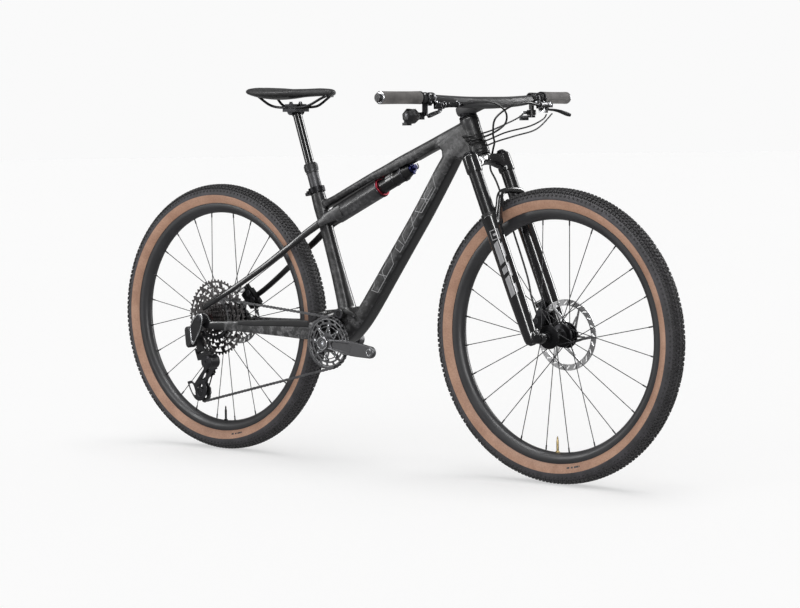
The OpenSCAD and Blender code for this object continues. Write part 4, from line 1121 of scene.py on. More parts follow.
def make_frame_details():
    post = [
        band(post_at, 104, 118.6, 16.0, 19.2, 1.0), band(post_at, 118.4, 122.5, 12.62, 17.4, 1.2),
        band(post_at, 96, 98.4, 15.9, 17.4, 0.4),
    ]
    piece("seatpost_collar", post, black_plastic, "frame")
    guard = [
        loft([
            [-60, -27, 386, 5, 2.6, 3], [-66, -31, 396, 5.5, 2.6, 3], [-78, -34, 404, 6, 2.6, 3],
            [-92, -35, 408, 6.5, 2.6, 3], [-104, -33, 410, 7, 2.6, 3],
        ], ref=(0.35, 0, 0.94), sides=24, steps=6),
        rod((-66, -26, 395), (-66, -36.4, 395), 4.4, sides=24),
        rod((-98, -30, 409), (-98, -38.6, 409), 4.4, sides=24),
    ]
    piece("chain_keeper", guard, black_plastic, "frame")
    screws = [
        cap_screw((-66, -36.2, 395), (0, -1, 0), 3.0, 1.6),
        cap_screw((-98, -38.4, 409), (0, -1, 0), 3.0, 1.6),
        *[cap_screw((-171, y * 21.8, 669), (0, y, 0), 4.4, 2.2) for y in (-1, 1)],
    ]
    piece("frame_screws", screws, dark_metal, "frame")
    head = [band(steer_at, 506.2, 509.4, 15, 24.6, 0.8), band(steer_at, 607.4, 609.3, 15, 24.2, 0.6)]
    piece("headset_seals", head, black_plastic, "frame")
    cups = []
    for y in (-1, 1):
        cups.append(tube_ring(CRANK, (0, y, 0), 36.2, 38.4, 15, 26.2, 0.6, 64))
        cups += [pin(round_point(CRANK, 23.2, a), y * 39, y * 44.5, 1.7, sides=10) for a in spaced(16)]
    piece("bottom_bracket_rims", cups, black_metal, "frame")


make_frame_graphics()
keep("seat_clamp", black_metal, 0.8)
keep("seatpost_outer", post_metal, 0.6)
keep("strut_tube", stanchion_look, 0.6)
keep("frame_fittings", black_plastic, 0.4)
keep("pivot_axle", black_metal, 0.5)
keep("frame_bearings", dark_metal, 0.4)
make_shock_details()
make_frame_details()


# ---------------------------------------------------------------- fork

CROWN_UNDER, LEG_U, LEG_Y, AXLE_U = 455, 14.0, 67.0, 44
# Lines of the small block on each leg: from and to angle (degrees), from and to height.
FORK_BLOCK_LINES = (
    (-30, 30, 272, 274), (-30, 30, 296, 298), (-30, -25, 272, 298), (25, 30, 272, 298), (-12, 12, 282, 288),
)


def make_fork_crown():
    legs = [
        lathe((LEG_U, y, CROWN_UNDER), (0, 0, 1), [
            (0, 19.4), (1.5, 20.6), (8, 20.9), (40, 20.6), (45, 20.0), (47, 18.6)], 64)
        for y in (-LEG_Y, LEG_Y)
    ]
    bridge = loft(there_and_back([
        [LEG_U, -LEG_Y - 4, 477, 15, 15, 2.6], [LEG_U, -48, 484, 16, 18, 2.8], [9, -26, 492, 17, 13.5, 2.8],
        [2, 0, 495, 21, 11.2, 2.8],
    ]), ref=(1, 0, 0), sides=40, steps=8)
    base = lathe((0, 0, 484), (0, 0, 1), [(0, 20), (2, 22), (18, 23), (21.5, 23)], 64)
    shapes = [moved(s, steer_at) for s in [*legs, bridge, base]]
    fused("fork_crown", shapes, 1.5, 8, [fork_look], "steering", ("fork_crown",))
    keep("fork_stanchions", stanchion_look)
    leg_cap = [(0, 13.4), (5.4, 13.0), (6.6, 12.0), (6.6, 6), (3.5, 5.8), (3.5, 0.01)]
    caps = []
    for y in (-LEG_Y, LEG_Y):
        leg_at = steer_at @ shift(LEG_U, y, 0)
        caps += [band(leg_at, 500.5, 504.5, 8, 17.6, 0.8), turned(leg_at, 503, leg_cap, 12)]
    top_cap = [(0, 17.4), (2.4, 17.2), (4.2, 15), (4.4, 6), (3.0, 5.6), (3.0, 0.01)]
    caps += [
        band(steer_at, 609.6, 617.4, 14.4, 23.4, 2.2), band(steer_at, 617.7, 626.4, 14.4, 19.2, 0.5),
        turned(steer_at, 650.6, top_cap),
    ]
    piece("steering_caps", caps, black_metal, "steering", ("steering_caps",))
    dial = turned(steer_at @ shift(LEG_U, LEG_Y, 0), 509, [(0, 9.5), (4, 9.5), (5, 8.4), (5, 0.01)], 10)
    piece("fork_damping_dial", [dial], dark_metal, "steering")


def make_fork_lowers():
    leg = [(0, 13), (3, 16), (14, 18), (60, 19.6), (124, 21.4), (300, 21.5), (322, 22.3), (338, 23.2),
           (341.5, 22.6)]
    shapes = []
    for y in (-LEG_Y, LEG_Y):
        shapes += [
            lathe((LEG_U, y, -4), (0, 0, 1), leg, 64),
            lathe((AXLE_U, y - 11, 0), (0, 1, 0), [(0, 12.4), (1.2, 13.6), (20.8, 13.6), (22, 12.4)], 48),
            loft([
                [LEG_U, y, 26, 10.5, 17, 3], [26, y, 8, 11, 14.5, 3], [38, y, 1, 11, 13, 3],
                [46, y, -1, 11, 10, 3],
            ], ref=(0, 1, 0), sides=32, steps=6),
        ]
    shapes.append(loft(there_and_back([
        [30, -63, 312, 11, 11, 3], [36, -60, 334, 10, 9, 3], [44, -55, 356, 9, 7.6, 3],
        [50, -49, 376, 9, 7.4, 3], [52.5, -38, 386.5, 9, 7.4, 3], [54, -20, 389, 9, 7, 3],
        [54.5, 0, 389.5, 9, 6.8, 3],
    ]), ref=(1, 0, 0), sides=32, steps=6))
    shapes += [block((-24, 47, z), (2, 58, z + 16)) for z in (96, 32)]
    fused("fork_lowers", [moved(s, steer_at) for s in shapes], 1.8, 8, [fork_look], "fork_lowers",
          ("fork_lowers",))
    foot_nut = [(0, 10), (3, 9.6), (4.4, 8), (4.4, 4.5), (2, 4.3), (2, 0.01)]
    trim = []
    for y in (-LEG_Y, LEG_Y):
        trim.append(band(steer_at @ shift(LEG_U, y, 0), 336.5, 344.5, 17.6, 21.6, 1.6))
        trim.append(moved(lathe((LEG_U, y, -3), (0, 0, -1), foot_nut, 32), steer_at))
    piece("fork_seals", trim, black_plastic, "fork_lowers")
    axle = [
        rod((AXLE_U, -83.6, 0), (AXLE_U, -78, 0), 10.8, chamfer=1.4, sides=48),
        tube_ring((AXLE_U, 0, 0), (0, -1, 0), 83.2, 84.4, 4, 8.4, 0.4, 6),
        rod((AXLE_U, 78, 0), (AXLE_U, 81, 0), 8.2, chamfer=0.8, sides=32),
    ]
    axle = [moved(s, steer_at) for s in axle]
    keep("front_axle", black_metal, 0.3)
    piece("front_axle_ends", axle, black_metal, "fork_lowers")


def leg_patch(y, low, high, a0, a1, skew=0.0):
    """A thin printed patch on a fork leg: heights low..high, angles a0..a1 round the leg, slanted by skew."""
    rows, columns, r = 14, 10, 21.5 + 0.22
    v = []
    for i in range(rows + 1):
        for k in range(columns + 1):
            f = k / columns
            a = math.radians(a0 + (a1 - a0) * f)
            z = low + (high - low) * i / rows + skew * f
            v.append((LEG_U + r * math.cos(a), y + r * math.sin(a), z))
    corners = [i * (columns + 1) + k for i in range(rows) for k in range(columns)]
    return moved((np.array(v), [(c, c + 1, c + columns + 2, c + columns + 1) for c in corners]), steer_at)


def make_fork_graphics():
    """Plain slanted silver bars on each leg's outer face, and a small framed block above them."""
    bars, block_lines = [], []
    for side in (-1, 1):
        y, mid = side * LEG_Y, side * 62
        for low, high in ((120, 170), (180, 196), (206, 262)):
            bars.append(leg_patch(y, low, high, mid - 30, mid + 30 * 0.15, 6))
        for low, high in ((126, 150), (170, 206), (222, 258)):
            bars.append(leg_patch(y, low, high, mid + 30 * 0.45, mid + 30, 4))
        for a0, a1, low, high in FORK_BLOCK_LINES:
            block_lines.append(leg_patch(y, low, high, mid + a0, mid + a1))
    piece("fork_leg_bars", bars, silver_ink, "fork_lowers")
    piece("fork_leg_frame", block_lines, grey_ink, "fork_lowers")


make_fork_crown()
make_fork_lowers()
make_fork_graphics()


# ---------------------------------------------------------------- rear suspension

RIGHT_STAY = [
    [-116, 36, 400, 7, 15, 3], [-150, 38, 384, 7, 18, 3.4], [-186, 40.5, 363, 6.5, 21, 4],
    [-215, 42.5, 352, 6.5, 24, 4], [-300, 50, 353, 7, 21, 4], [-400, 58, 354, 7, 17, 4],
    [-470, 68, 355, 6, 14.5, 4], [-500, 73, 355, 6, 13.5, 4], [-545, 79.5, 355, 6, 12, 4],
    [-566, 80, 357, 6, 11, 4],
]
SEATSTAY = [
    [-190.8, 29.5, 639.4, 5.5, 10.5, 3], [-230, 37, 614, 5.5, 9.5, 3], [-265, 43, 590, 5.5, 9, 3],
    [-300, 47, 567, 5.5, 8.5, 3], [-372, 57, 518.5, 5.5, 8, 3], [-440, 69, 476, 5.5, 7.5, 3],
    [-500, 78, 441, 5, 7.5, 3], [-550, 80, 415, 5, 7.5, 3], [-578, 80, 400.5, 5, 7.5, 3],
]
SLEEVE_ARM = [
    [-118, 19, 677, 7, 18, 3], [-145, 24, 665, 6.5, 16, 3], [-168, 28.5, 653, 5.5, 13, 3],
    [-188.3, 29.5, 640.9, 5.5, 10.5, 3],
]


def make_swingarm():
    """Both chainstays with their pivot bosses, dropouts and bridge in one skin."""
    dropout = np.array([[-588, 382], [-560, 384], [-548, 366], [-548, 344], [-568, 344], [-590, 358]])
    shapes = [*both(loft(RIGHT_STAY, sides=40, steps=8))]
    for y in (-1, 1):
        shapes.append(pin(PIVOT, y * 28.6, y * 44, 15, chamfer=1.5, sides=48))
        shapes.append(pin(REAR, y * 74, y * 86, 17, chamfer=1.5, sides=48))
    shapes += both(plate([dropout], 74, 86, 2))
    shapes.append(plate([slot_loop((-166, 398), (-184, 396), 11, 9)], -40, 40, 2.5))
    shapes.append(moved(block((0, 20, -26), (14, 32, -16)), shift(-535, 44, 382) @ turn("Y", 30)))
    pivot_gap = pin(PIVOT, -28.3, 28.3, 15.6, sides=48)
    # The swingarm's flanks take the lighter copy of the chopped carbon: painted light, making up for the
    # shade on the stays.
    o = fused("swingarm_shell", shapes, 1.9, 7, [frame_look, stay_marble_painted_light], "swingarm",
              ("swingarm",), cutters=(pivot_gap,))
    o.data.polygons.foreach_set("material_index", [
        1 if -0.50 < p.center.x < -0.19 and abs(p.center.y) > 0.045 and abs(p.normal.y) > 0.5 else 0
        for p in o.data.polygons])
    trims = []
    for y in (-1, 1):
        trims.append(tube_ring(PIVOT, (0, y, 0), 43.6, 44.3, 8, 13.6, 0.2))
        trims.append(tube_ring(REAR, (0, y, 0), 85.6, 86.2, 6.5, 14.5, 0.2))
    piece("swingarm_rings", trims, dark_metal, "swingarm")
    guard = loft([
        [-215, -50.2, 371, 1.0, 9, 3], [-300, -57.8, 370, 1.0, 9, 3], [-400, -65.6, 366, 1.0, 8, 3],
        [-455, -71.6, 364.5, 1.0, 6, 3],
    ], sides=24, steps=8)
    piece("chainstay_guard", [guard], black_plastic, "swingarm")
    keep("rear_axle", black_metal, 0.4)
    keep("rear_caliper", black_metal, 0.8)
    keep("front_caliper", black_metal, 0.8)
    bevel(frame["nodes"]["pivot_axle"], 0.5)  # its edges are rounded twice


def make_calipers():
    """Bolts, banjo and pad pins of the two calipers."""
    for name, centre, y, r, angle, body, at in (
        ("front", np.array([AXLE_U, 0, 0]), FRONT_ROTOR_Y, 90.0, 50, "fork_lowers", steer_at),
        ("rear", REAR, REAR_ROTOR_Y, 80.0, 137, "swingarm", np.eye(4)),
    ):
        local = at @ shift(centre[0], y, centre[2]) @ turn("Y", angle)
        shapes = [cap_screw((-r - 4, -8.0, z), (0, -1, 0), 4.2, 4) for z in (-32, 32)]
        shapes += [rod((-r - 2, -15.2, z), (-r - 2, -13.6, z), 8.5, chamfer=0.7) for z in (-12, 12)]
        shapes.append(rod((-r - 14.5, 0, 20), (-r - 8, 0, 20), 4.6, chamfer=0.7, sides=6))
        shapes.append(rod((-r - 3.4, -14.4, 0), (-r - 3.4, 14.4, 0), 1.6, sides=12))
        piece(name + "_caliper_bolts", [moved(s, local) for s in shapes], dark_metal, body)


def make_sleeve():
    """The sleeve that slides on the strut with its two arms, and the stays behind it."""
    body = band(strut_at, -168, 2, STRUT_R + 0.08, SLEEVE_R, 1.2, 96)
    lip = band(strut_at, -3, 2.2, STRUT_R + 0.08, SLEEVE_R + 1.4, 1.0, 96)
    bore = turned(strut_at, -300, [(0, STRUT_R + 0.1), (400, STRUT_R + 0.1)], 64)
    slot = block((-260, -22.4, 600), (-158, 22.4, 720))
    arms = [cut(a, bore, slot) for a in both(loft(SLEEVE_ARM, sides=32, steps=8))]
    piece("shock_sleeve_body", [cut(body, slot), *arms], satin_carbon, "shock_sleeve",
          ("shock_sleeve",), angle=40)
    piece("shock_sleeve_lip", [lip], dark_metal, "shock_sleeve")
    stays = []
    for side, stay in zip((1, -1), both(loft(SEATSTAY, sides=32, steps=10))):
        inside, outside = sorted((side * 60, side * 100))
        eye = rod((REAR[0], side * 60, REAR[2]), (REAR[0], side * 100, REAR[2]), 18.6, sides=48)
        stays.append(cut(stay, eye, block((-610, inside, 360), (-530, outside, 385.6))))
    piece("seatstay_pair", stays, frame_look, "seatstays", ("seatstays",), angle=40)


make_swingarm()
make_calipers()
make_sleeve()
keep("strut_spool", blue_metal, 0.4)


# ---------------------------------------------------------------- drivetrain

PITCH = 12.7
COGS = [52, 44, 38, 32, 28, 24, 21, 18, 16, 14, 12, 10]
CHAINRING = 34
COG_Y, RING_Y = -42.0, -52.0
CRANK_LENGTH = 170.0
ARM_EDGE = [(6, 13.5), (24, 13), (46, 15.2), (70, 18.2), (98, 19.2), (130, 18.2), (158, 16.4)]
CRANK_BOSS = [
    (57, 14.6), (57, 18), (58.4, 19), (75.8, 19), (77.6, 18.2), (77.6, 15.0), (76.6, 14.6), (76.6, 8.4),
    (73, 8.0), (70, 6.8), (70, 0.01),
]
DERAILLEUR_LOOP = [
    (-581, 386), (-570, 387.5), (-561, 380), (-562, 362), (-570, 340), (-584, 318), (-597, 300),
    (-606, 306), (-609, 330), (-610, 348), (-601, 363), (-592, 376), (-581, 386),
]
WING = [
    (-672, 187), (-655, 191), (-640, 184), (-618, 197), (-603, 188), (-597, 166), (-604, 147), (-622, 136),
    (-642, 140), (-660, 162), (-672, 187),
]
WING_HOLES = [
    [(-664, 181), (-653, 183), (-645, 172), (-640, 153), (-648, 153), (-658, 167), (-664, 181)],
    [(-632, 176), (-617, 184), (-609, 170), (-612, 153), (-624, 148), (-633, 156), (-632, 176)],
]


def pitch_r(teeth):
    return PITCH / 2 / math.sin(math.pi / teeth)


def flat(p):
    return np.array([p[0], p[2]])


def gear_loop(teeth, phase=0.0, tip=3.4, root=3.9):
    """Outline of a chain wheel with rounded roots between shaped teeth."""
    r = pitch_r(teeth)
    rise = [(0.16, -root * 0.86), (0.27, -root * 0.3), (0.38, tip * 0.55), (0.46, tip)]
    tooth = [(0.0, -root), *rise, *[(1 - share, height) for share, height in reversed(rise)]]
    return np.array([
        polar(r + height, 2 * math.pi * (k + share + phase) / teeth)
        for k in range(teeth) for share, height in tooth
    ])


def window(r0, r1, a, w0, w1, lean=0.0):
    """A four-sided window between two radii, w0 and w1 wide (radians) and leaning."""
    inner = [polar(r0, t) for t in np.linspace(a - w0, a + w0, 5)]
    outer = [polar(r1, t) for t in np.linspace(a + w1 + lean, a - w1 + lean, 5)]
    return np.array(inner + outer)


def make_cassette():
    """Twelve toothed cogs with windows and spacers, on a red carrier."""
    cogs = []
    for i, teeth in enumerate(COGS):
        y = -27.9 - 3.58 * i
        last = i == len(COGS) - 1
        inner = 12.0 if last else pitch_r(COGS[i + 1]) - 6
        loops = [gear_loop(teeth, tip=1.6, root=4.1), circle_loop((0, 0), inner, max(24, 2 * teeth))]
        rim_r = pitch_r(teeth) - (8.4 if i == 0 else 6.9)
        if rim_r - inner > 4.5:
            n = 16 if teeth > 30 else 12
            half = math.pi / n
            for a in spaced(n, 0.5 * (i % 2)):
                loops.append(window(inner + 2.4, rim_r, a, half * 0.62, half * 0.66, 0.05))
        cogs.append(moved(plate(loops, -0.8, 0.8, 0.25), shift(REAR[0], y, REAR[2])))
        if not last:
            r = pitch_r(COGS[i + 1])
            cogs.append(tube_ring(REAR + [0, y, 0], (0, -1, 0), 0.7, 2.85, r - 5.9, r - 4.1, 0.2, 64))
    web = plate([circle_loop((0, 0), 42, 72), circle_loop((0, 0), 16.5, 48),
                 *[window(19.5, 37.5, a, 0.30, 0.30) for a in spaced(7)]], -44.6, -42.8, 0.3)
    carrier = [
        tube_ring(REAR, (0, 1, 0), -73.7, -66.3, 6.2, 13.5, 0.8),
        tube_ring(REAR, (0, 1, 0), -66.5, -26.4, 6.2, 17, 0.8), moved(web, shift(REAR[0], 0, REAR[2])),
    ]
    piece("cassette_cogs", [(*s, 0) for s in cogs] + [(*s, 1) for s in carrier], [cog_steel, cog_red],
          "cassette", ("cassette",), angle=30)


def arm_half_width(u):
    return float(np.interp(u, [p[0] for p in ARM_EDGE], [p[1] for p in ARM_EDGE]))


def crank_arm_shapes(side, at):
    """One crank arm along local +x, with a sunk pocket, bright edges near the boss and a pedal eye."""
    slope = np.eye(4)
    slope[1, 0] = 0.075 * side
    skew = at @ slope
    edge = [tuple(q) for q in spline(ARM_EDGE, 5)]
    tip = [(CRANK_LENGTH + 16 * math.cos(t), 16 * math.sin(t)) for t in np.linspace(1.35, -1.35, 22)]
    outline = np.array(edge + tip + [(u, -w) for u, w in reversed(edge)])
    pocket, pocket_floor = (slot_loop((36, 0), (92, 0), r, r + 2.5, 14) for r in (9.0, 10.4))
    parts = [
        moved(plate([outline, pocket], *sorted((side * 60, side * 72)), 1.6), skew),
        moved(plate([pocket_floor], *sorted((side * 61.5, side * 67.5)), 0.5), skew),
        moved(lathe((0, 0, 0), (0, side, 0), CRANK_BOSS, 64), at),
        moved(tube_ring((CRANK_LENGTH, 0, 0), (0, side, 0), 70, 85, 6.85, 14.8, 1.6, 64), at),
    ]
    bright = []
    for flip in (1, -1):
        outer = [(u, flip * (arm_half_width(u) - 0.5)) for u in np.linspace(14, 104, 24)]
        inner = [(u, flip * (arm_half_width(u) - 0.5 - 3.4 * (1 - (u - 14) / 96)))
                 for u in np.linspace(100, 14, 24)]
        loop = np.array((outer + inner)[::flip])
        bright.append(moved(plate([loop], *sorted((side * 72.0, side * 72.25)), 0.05), skew))
    boss_edge = [(77.4, 15.2), (77.9, 15.5), (77.9, 17.7), (77.4, 18.2)]
    bright.append(moved(lathe((0, 0, 0), (0, side, 0), boss_edge, 64, closed=True), at))
    return parts, bright


def make_cranks():
    left_at = crank_at @ turn("Y", 180)
    right, right_edge = crank_arm_shapes(-1, crank_at)
    left, left_edge = crank_arm_shapes(1, left_at)
    axle = moved(tube_ring((0, 0, 0), (0, 1, 0), -57, 56.5, 11, 14.45, 0.6, 64), crank_at)
    hub = plate([circle_loop((0, 0), 26, 64), circle_loop((0, 0), 14.6, 48)], -57.2, -53.2, 0.7)
    arms, ridges, bolts = [], [], []
    for a in spaced(8):
        foot = polar(45.5, a)
        for lean in (-0.34, 0.34):
            root = polar(22, a + lean)
            arms.append(moved(plate([slot_loop(root, foot, 2.6, 2.9, 8)], -55.8, -53.0, 0.5), crank_at))
            ridges.append(moved(plate([slot_loop(root, foot, 0.7, 0.5, 6)], -56.05, -55.7, 0.05), crank_at))
        at_foot = round_point(np.array([0, -55.6, 0]), 45.6, a)
        bolts.append(moved(cap_screw(at_foot, (0, -1, 0), 3.1, 1.6, 20), crank_at))
    right += [moved(hub, crank_at), *arms]
    piece("crank_right_arm", right, crank_look, "crank", ("crank_right",), angle=30)
    piece("crank_left_arm", left, crank_look, "crank", ("crank_left",), angle=30)
    piece("crank_axle", [axle], grey_metal, "crank")
    piece("crank_edges", [*right_edge, *left_edge], silver, "crank")
    piece("spider_bolts", bolts, silver, "crank")
    piece("spider_ridges", ridges, silver, "crank")
    caps = []
    for side, at in ((-1, crank_at), (1, left_at)):
        caps.append(moved(cap_screw((0, side * 70, 0), (0, side, 0), 7.9, 4.6, 40), at))
        caps.append(moved(tube_ring((CRANK_LENGTH, 0, 0), (0, side, 0), 84.6, 85.3, 6.9, 9.4, 0.2, 48), at))
    piece("crank_caps", caps, silver, "crank")


def make_chainring():
    """The toothed rim, and the windowed web that carries it."""
    teeth = [gear_loop(CHAINRING, 0.2, tip=4.0), circle_loop((0, 0), 62.6, 144)]
    ring = [circle_loop((0, 0), 62.8, 144), circle_loop((0, 0), 52.0, 144)]
    ring += [window(54.6, 61.0, a, 0.135, 0.135, 0.03) for a in spaced(16, 0.5)]
    inner = [circle_loop((0, 0), 55, 144), circle_loop((0, 0), 42, 120)]
    inner += [window(44.6, 50.2, a, 0.24, 0.24) for a in spaced(8, 0.5)]
    rim = moved(plate(teeth, RING_Y - 0.7, RING_Y + 0.7, 0.2), crank_at)
    web = [
        moved(plate(ring, RING_Y - 0.85, RING_Y + 0.85, 0.3), crank_at),
        moved(plate(inner, RING_Y - 1.2, RING_Y + 0.9, 0.3), crank_at),
    ]
    piece("chainring_teeth", [rim], tooth_steel, "crank", ("chainring",), angle=30)
    piece("chainring_web", web, chain_steel, "crank", angle=30)


def run_angle(a, b, ra, rb, s, crossed=False):
    """Angle of the points where a straight run leaves two wheels, on side s of the line between them."""
    d = b - a
    lean = math.acos((ra + (rb if crossed else -rb)) / np.linalg.norm(d))
    return math.degrees(math.atan2(d[1], d[0])) + s * math.degrees(lean)


def leave(c, r, n, y):
    """The point of a wheel of radius r where a run leaves it at angle n (degrees)."""
    x, z = polar(r, math.radians(n))
    return np.array([c[0] + x, y, c[2] + z])


def wheel_arc(c, r, y, a0, a1):
    """Points one chain pitch apart round a wheel, from angle a0 to a1 (degrees)."""
    n = max(1, int(round(abs(math.radians(a1 - a0)) * r / PITCH)))
    return [leave(c, r, a, y) for a in np.linspace(a0, a1, n + 1)]


def link_pair(y0, y1, waist):
    """The two side plates of one link, waisted between its pins: the -y one, then the +y one."""
    loop = [polar(3.9, a) for a in np.linspace(math.radians(60), math.radians(300), 7)]
    loop.append((PITCH / 2, -waist))
    for a in np.linspace(math.radians(240), math.radians(480), 7):
        loop.append((PITCH + 3.9 * math.cos(a), 3.9 * math.sin(a)))
    loop.append((PITCH / 2, waist))
    return plate([np.array(loop)], -y1, -y0, 0.12), plate([np.array(loop)], y0, y1, 0.12)


def links(points):
    """Chain links between successive pin points (x, y, z): shaped plates, rollers and pins."""
    shapes = []
    for i, (p, q) in enumerate(zip(points, points[1:])):
        length = np.linalg.norm(q - p)
        ahead = (q - p) / length
        across = unit(np.array([0, 1, 0]) - ahead * ahead[1])
        m = np.eye(4)
        m[:3, 0], m[:3, 1], m[:3, 2], m[:3, 3] = ahead, across, np.cross(ahead, across), p
        stretched = m @ np.diag([length / PITCH, 1, 1, 1])
        minus, plus = LINK_IN if i % 2 else LINK_OUT
        shapes += [moved(minus, stretched), moved(plus, stretched), moved(ROLLER, m)]
    return shapes


def between(p, q):
    """Points about one chain pitch apart on a straight run."""
    n = max(1, int(round(np.linalg.norm(q - p) / PITCH)))
    return [p + (q - p) * k / n for k in range(n + 1)]


COG_R, RING_R, GUIDE_R, TENSION_R = pitch_r(28), pitch_r(CHAINRING), pitch_r(12), pitch_r(14)
TOP_N = run_angle(flat(CRANK), flat(REAR), RING_R, COG_R, -1)
LOW_N = run_angle(flat(CRANK), flat(TENSION), RING_R, TENSION_R, 1)
PULLEY_N = run_angle(flat(TENSION), flat(GUIDE), TENSION_R, GUIDE_R, 1, True)
COG_N = run_angle(flat(REAR), flat(GUIDE), COG_R, GUIDE_R, -1, True)
LINK_OUT = link_pair(1.86, 2.5, 2.7)
LINK_IN = link_pair(1.16, 1.8, 2.5)
ROLLER_PROFILE = [
    (-2.75, 1.3), (-2.7, 1.5), (-1.14, 1.5), (-1.12, 3.0), (1.12, 3.0), (1.14, 1.5), (2.7, 1.5),
    (2.75, 1.3),
]
ROLLER = lathe((0, 0, 0), (0, 1, 0), ROLLER_PROFILE, 12)


def make_chain():
    """The chain in eight stretches: round each wheel, and the runs between the wheels."""
    top = leave(CRANK, RING_R, TOP_N, RING_Y), leave(REAR, COG_R, TOP_N, COG_Y)
    low = leave(CRANK, RING_R, LOW_N, RING_Y), leave(TENSION, TENSION_R, LOW_N, COG_Y)
    pulley = leave(TENSION, TENSION_R, PULLEY_N, COG_Y), leave(GUIDE, GUIDE_R, PULLEY_N + 180, COG_Y)
    cog = leave(REAR, COG_R, COG_N, COG_Y), leave(GUIDE, GUIDE_R, COG_N + 180, COG_Y)
    for name, points, body in (
        ("chain_ring_wrap", wheel_arc(CRANK, RING_R, RING_Y, LOW_N - 360, TOP_N), "frame"),
        ("chain_top_run", between(*top), ("frame", "swingarm", *top)),
        ("chain_cog_wrap", wheel_arc(REAR, COG_R, COG_Y, TOP_N, COG_N), "swingarm"),
        ("chain_low_run", between(*low), ("frame", "swingarm", *low)),
        ("chain_tension_wrap", wheel_arc(TENSION, TENSION_R, COG_Y, PULLEY_N, LOW_N), "derail_cage"),
        ("chain_guide_wrap", wheel_arc(GUIDE, GUIDE_R, COG_Y, COG_N - 180, PULLEY_N - 180), "derail_cage"),
        ("chain_pulley_run", between(*pulley), "derail_cage"),
        ("chain_cog_run", between(*cog), "derail_cage"),
    ):
        stands_for = ("chain",) if name == "chain_ring_wrap" else ()
        piece(name, links(points), chain_steel, body, stands_for, angle=30)


def make_derailleur_body():
    """The mount behind the dropout with its bright loop, battery and axle cap."""
    keep("derailleur_link", derail_look, 1.2)
    keep("derailleur_knuckle", derail_look, 2.2)
    loop = spline(DERAILLEUR_LOOP, 5)[:-1][::-1]
    middle = loop.mean(0)
    inner = middle + (loop - middle) * 0.84
    body = [
        pin(REAR, -101.4, -86.6, 15, chamfer=1.5, sides=48), plate([loop], -101.4, -94.6, 2.2),
        plate([slot_loop((-602, 342), (-622, 332), 10, 11, 12)], -99, -90, 2.5),
    ]
    lug_lean = math.radians(69.8)
    lug_at = axes_at(LINK_A, (math.cos(lug_lean), 0, -math.sin(lug_lean)), LINK_AXIS)
    body += [moved(block((-9, -14, z), (8, 7, z + 4.6)), lug_at) for z in (-17, 12.4)]
    bores = [rod(LINK_A - LINK_AXIS * 30, LINK_A + LINK_AXIS * 30, 3.02, chamfer=0, sides=24),
             pin(REAR, -91.5, -60, 6.1, chamfer=0, sides=32)]
    fused("derailleur_body", body, 0.8, 4, [derail_look], "swingarm", ("derailleur_mount",),
          cutters=bores)
    piece("derailleur_battery", [
        plate([slot_loop((-624, 337), (-621, 300), 11.6, 10.6, 16)], -99.6, -73, 3.0),
        plate([slot_loop((-624, 337), (-621, 300), 8.4, 7.4, 16)], -100.4, -99, 0.6),
    ], battery_look, "swingarm", angle=30)
    bright = plate([loop, inner[::-1]], -103.2, -100.9, 0.8)
    piece("derailleur_bright_loop", [bright], silver, "swingarm", angle=30)
    piece("derailleur_mount_cap", [
        pin(REAR, -102.6, -101.0, 8.4, chamfer=0.6, sides=48),
        tube_ring(REAR, (0, -1, 0), 102.4, 103.4, 3.6, 6.4, 0.3, 6),
        cap_screw((-606, -101, 318), (0, -1, 0), 2.2, 1.4, 20),
    ], dark_metal, "swingarm")


def make_derailleur_link():
    """The cover of the moving link, and the cap of the knuckle at its far end."""
    reach = LINK_B - LINK_A
    along, length = unit(reach), float(np.linalg.norm(reach))
    out = unit(np.cross(LINK_AXIS, along))
    out = out if out[0] < 0 else -out
    row = [(-0.12, 0.75), (0.15, 1.0), (0.85, 1.0), (1.12, 0.75)]
    cover = []
    for offset, size in ((5.0, 1.0), (9.5, 0.86)):
        stretch = [LINK_A + along * length * t + LINK_AXIS * 11.4 * w * size + out * offset for t, w in row]
        stretch += [LINK_A + along * length * t - LINK_AXIS * 11.4 * w * size + out * offset
                    for t, w in reversed(row)]
        cover.append(np.array(stretch))
    piece("derailleur_link_cover", [skin(cover)], derail_look, "derail_link", edges=1.2)
    knuckle = [
        pin(CAGE_AXIS, -89.4, -87.8, 16.5, chamfer=0.7, sides=64),
        tube_ring(CAGE_AXIS, (0, -1, 0), 89.2, 90.4, 5, 12.6, 0.4, 48),
        cap_screw(CAGE_AXIS + [0, -89.2, 0], (0, -1, 0), 4.6, 1.6),
    ]
    piece("derailleur_knuckle_cap", knuckle, dark_metal, "derail_knuckle")


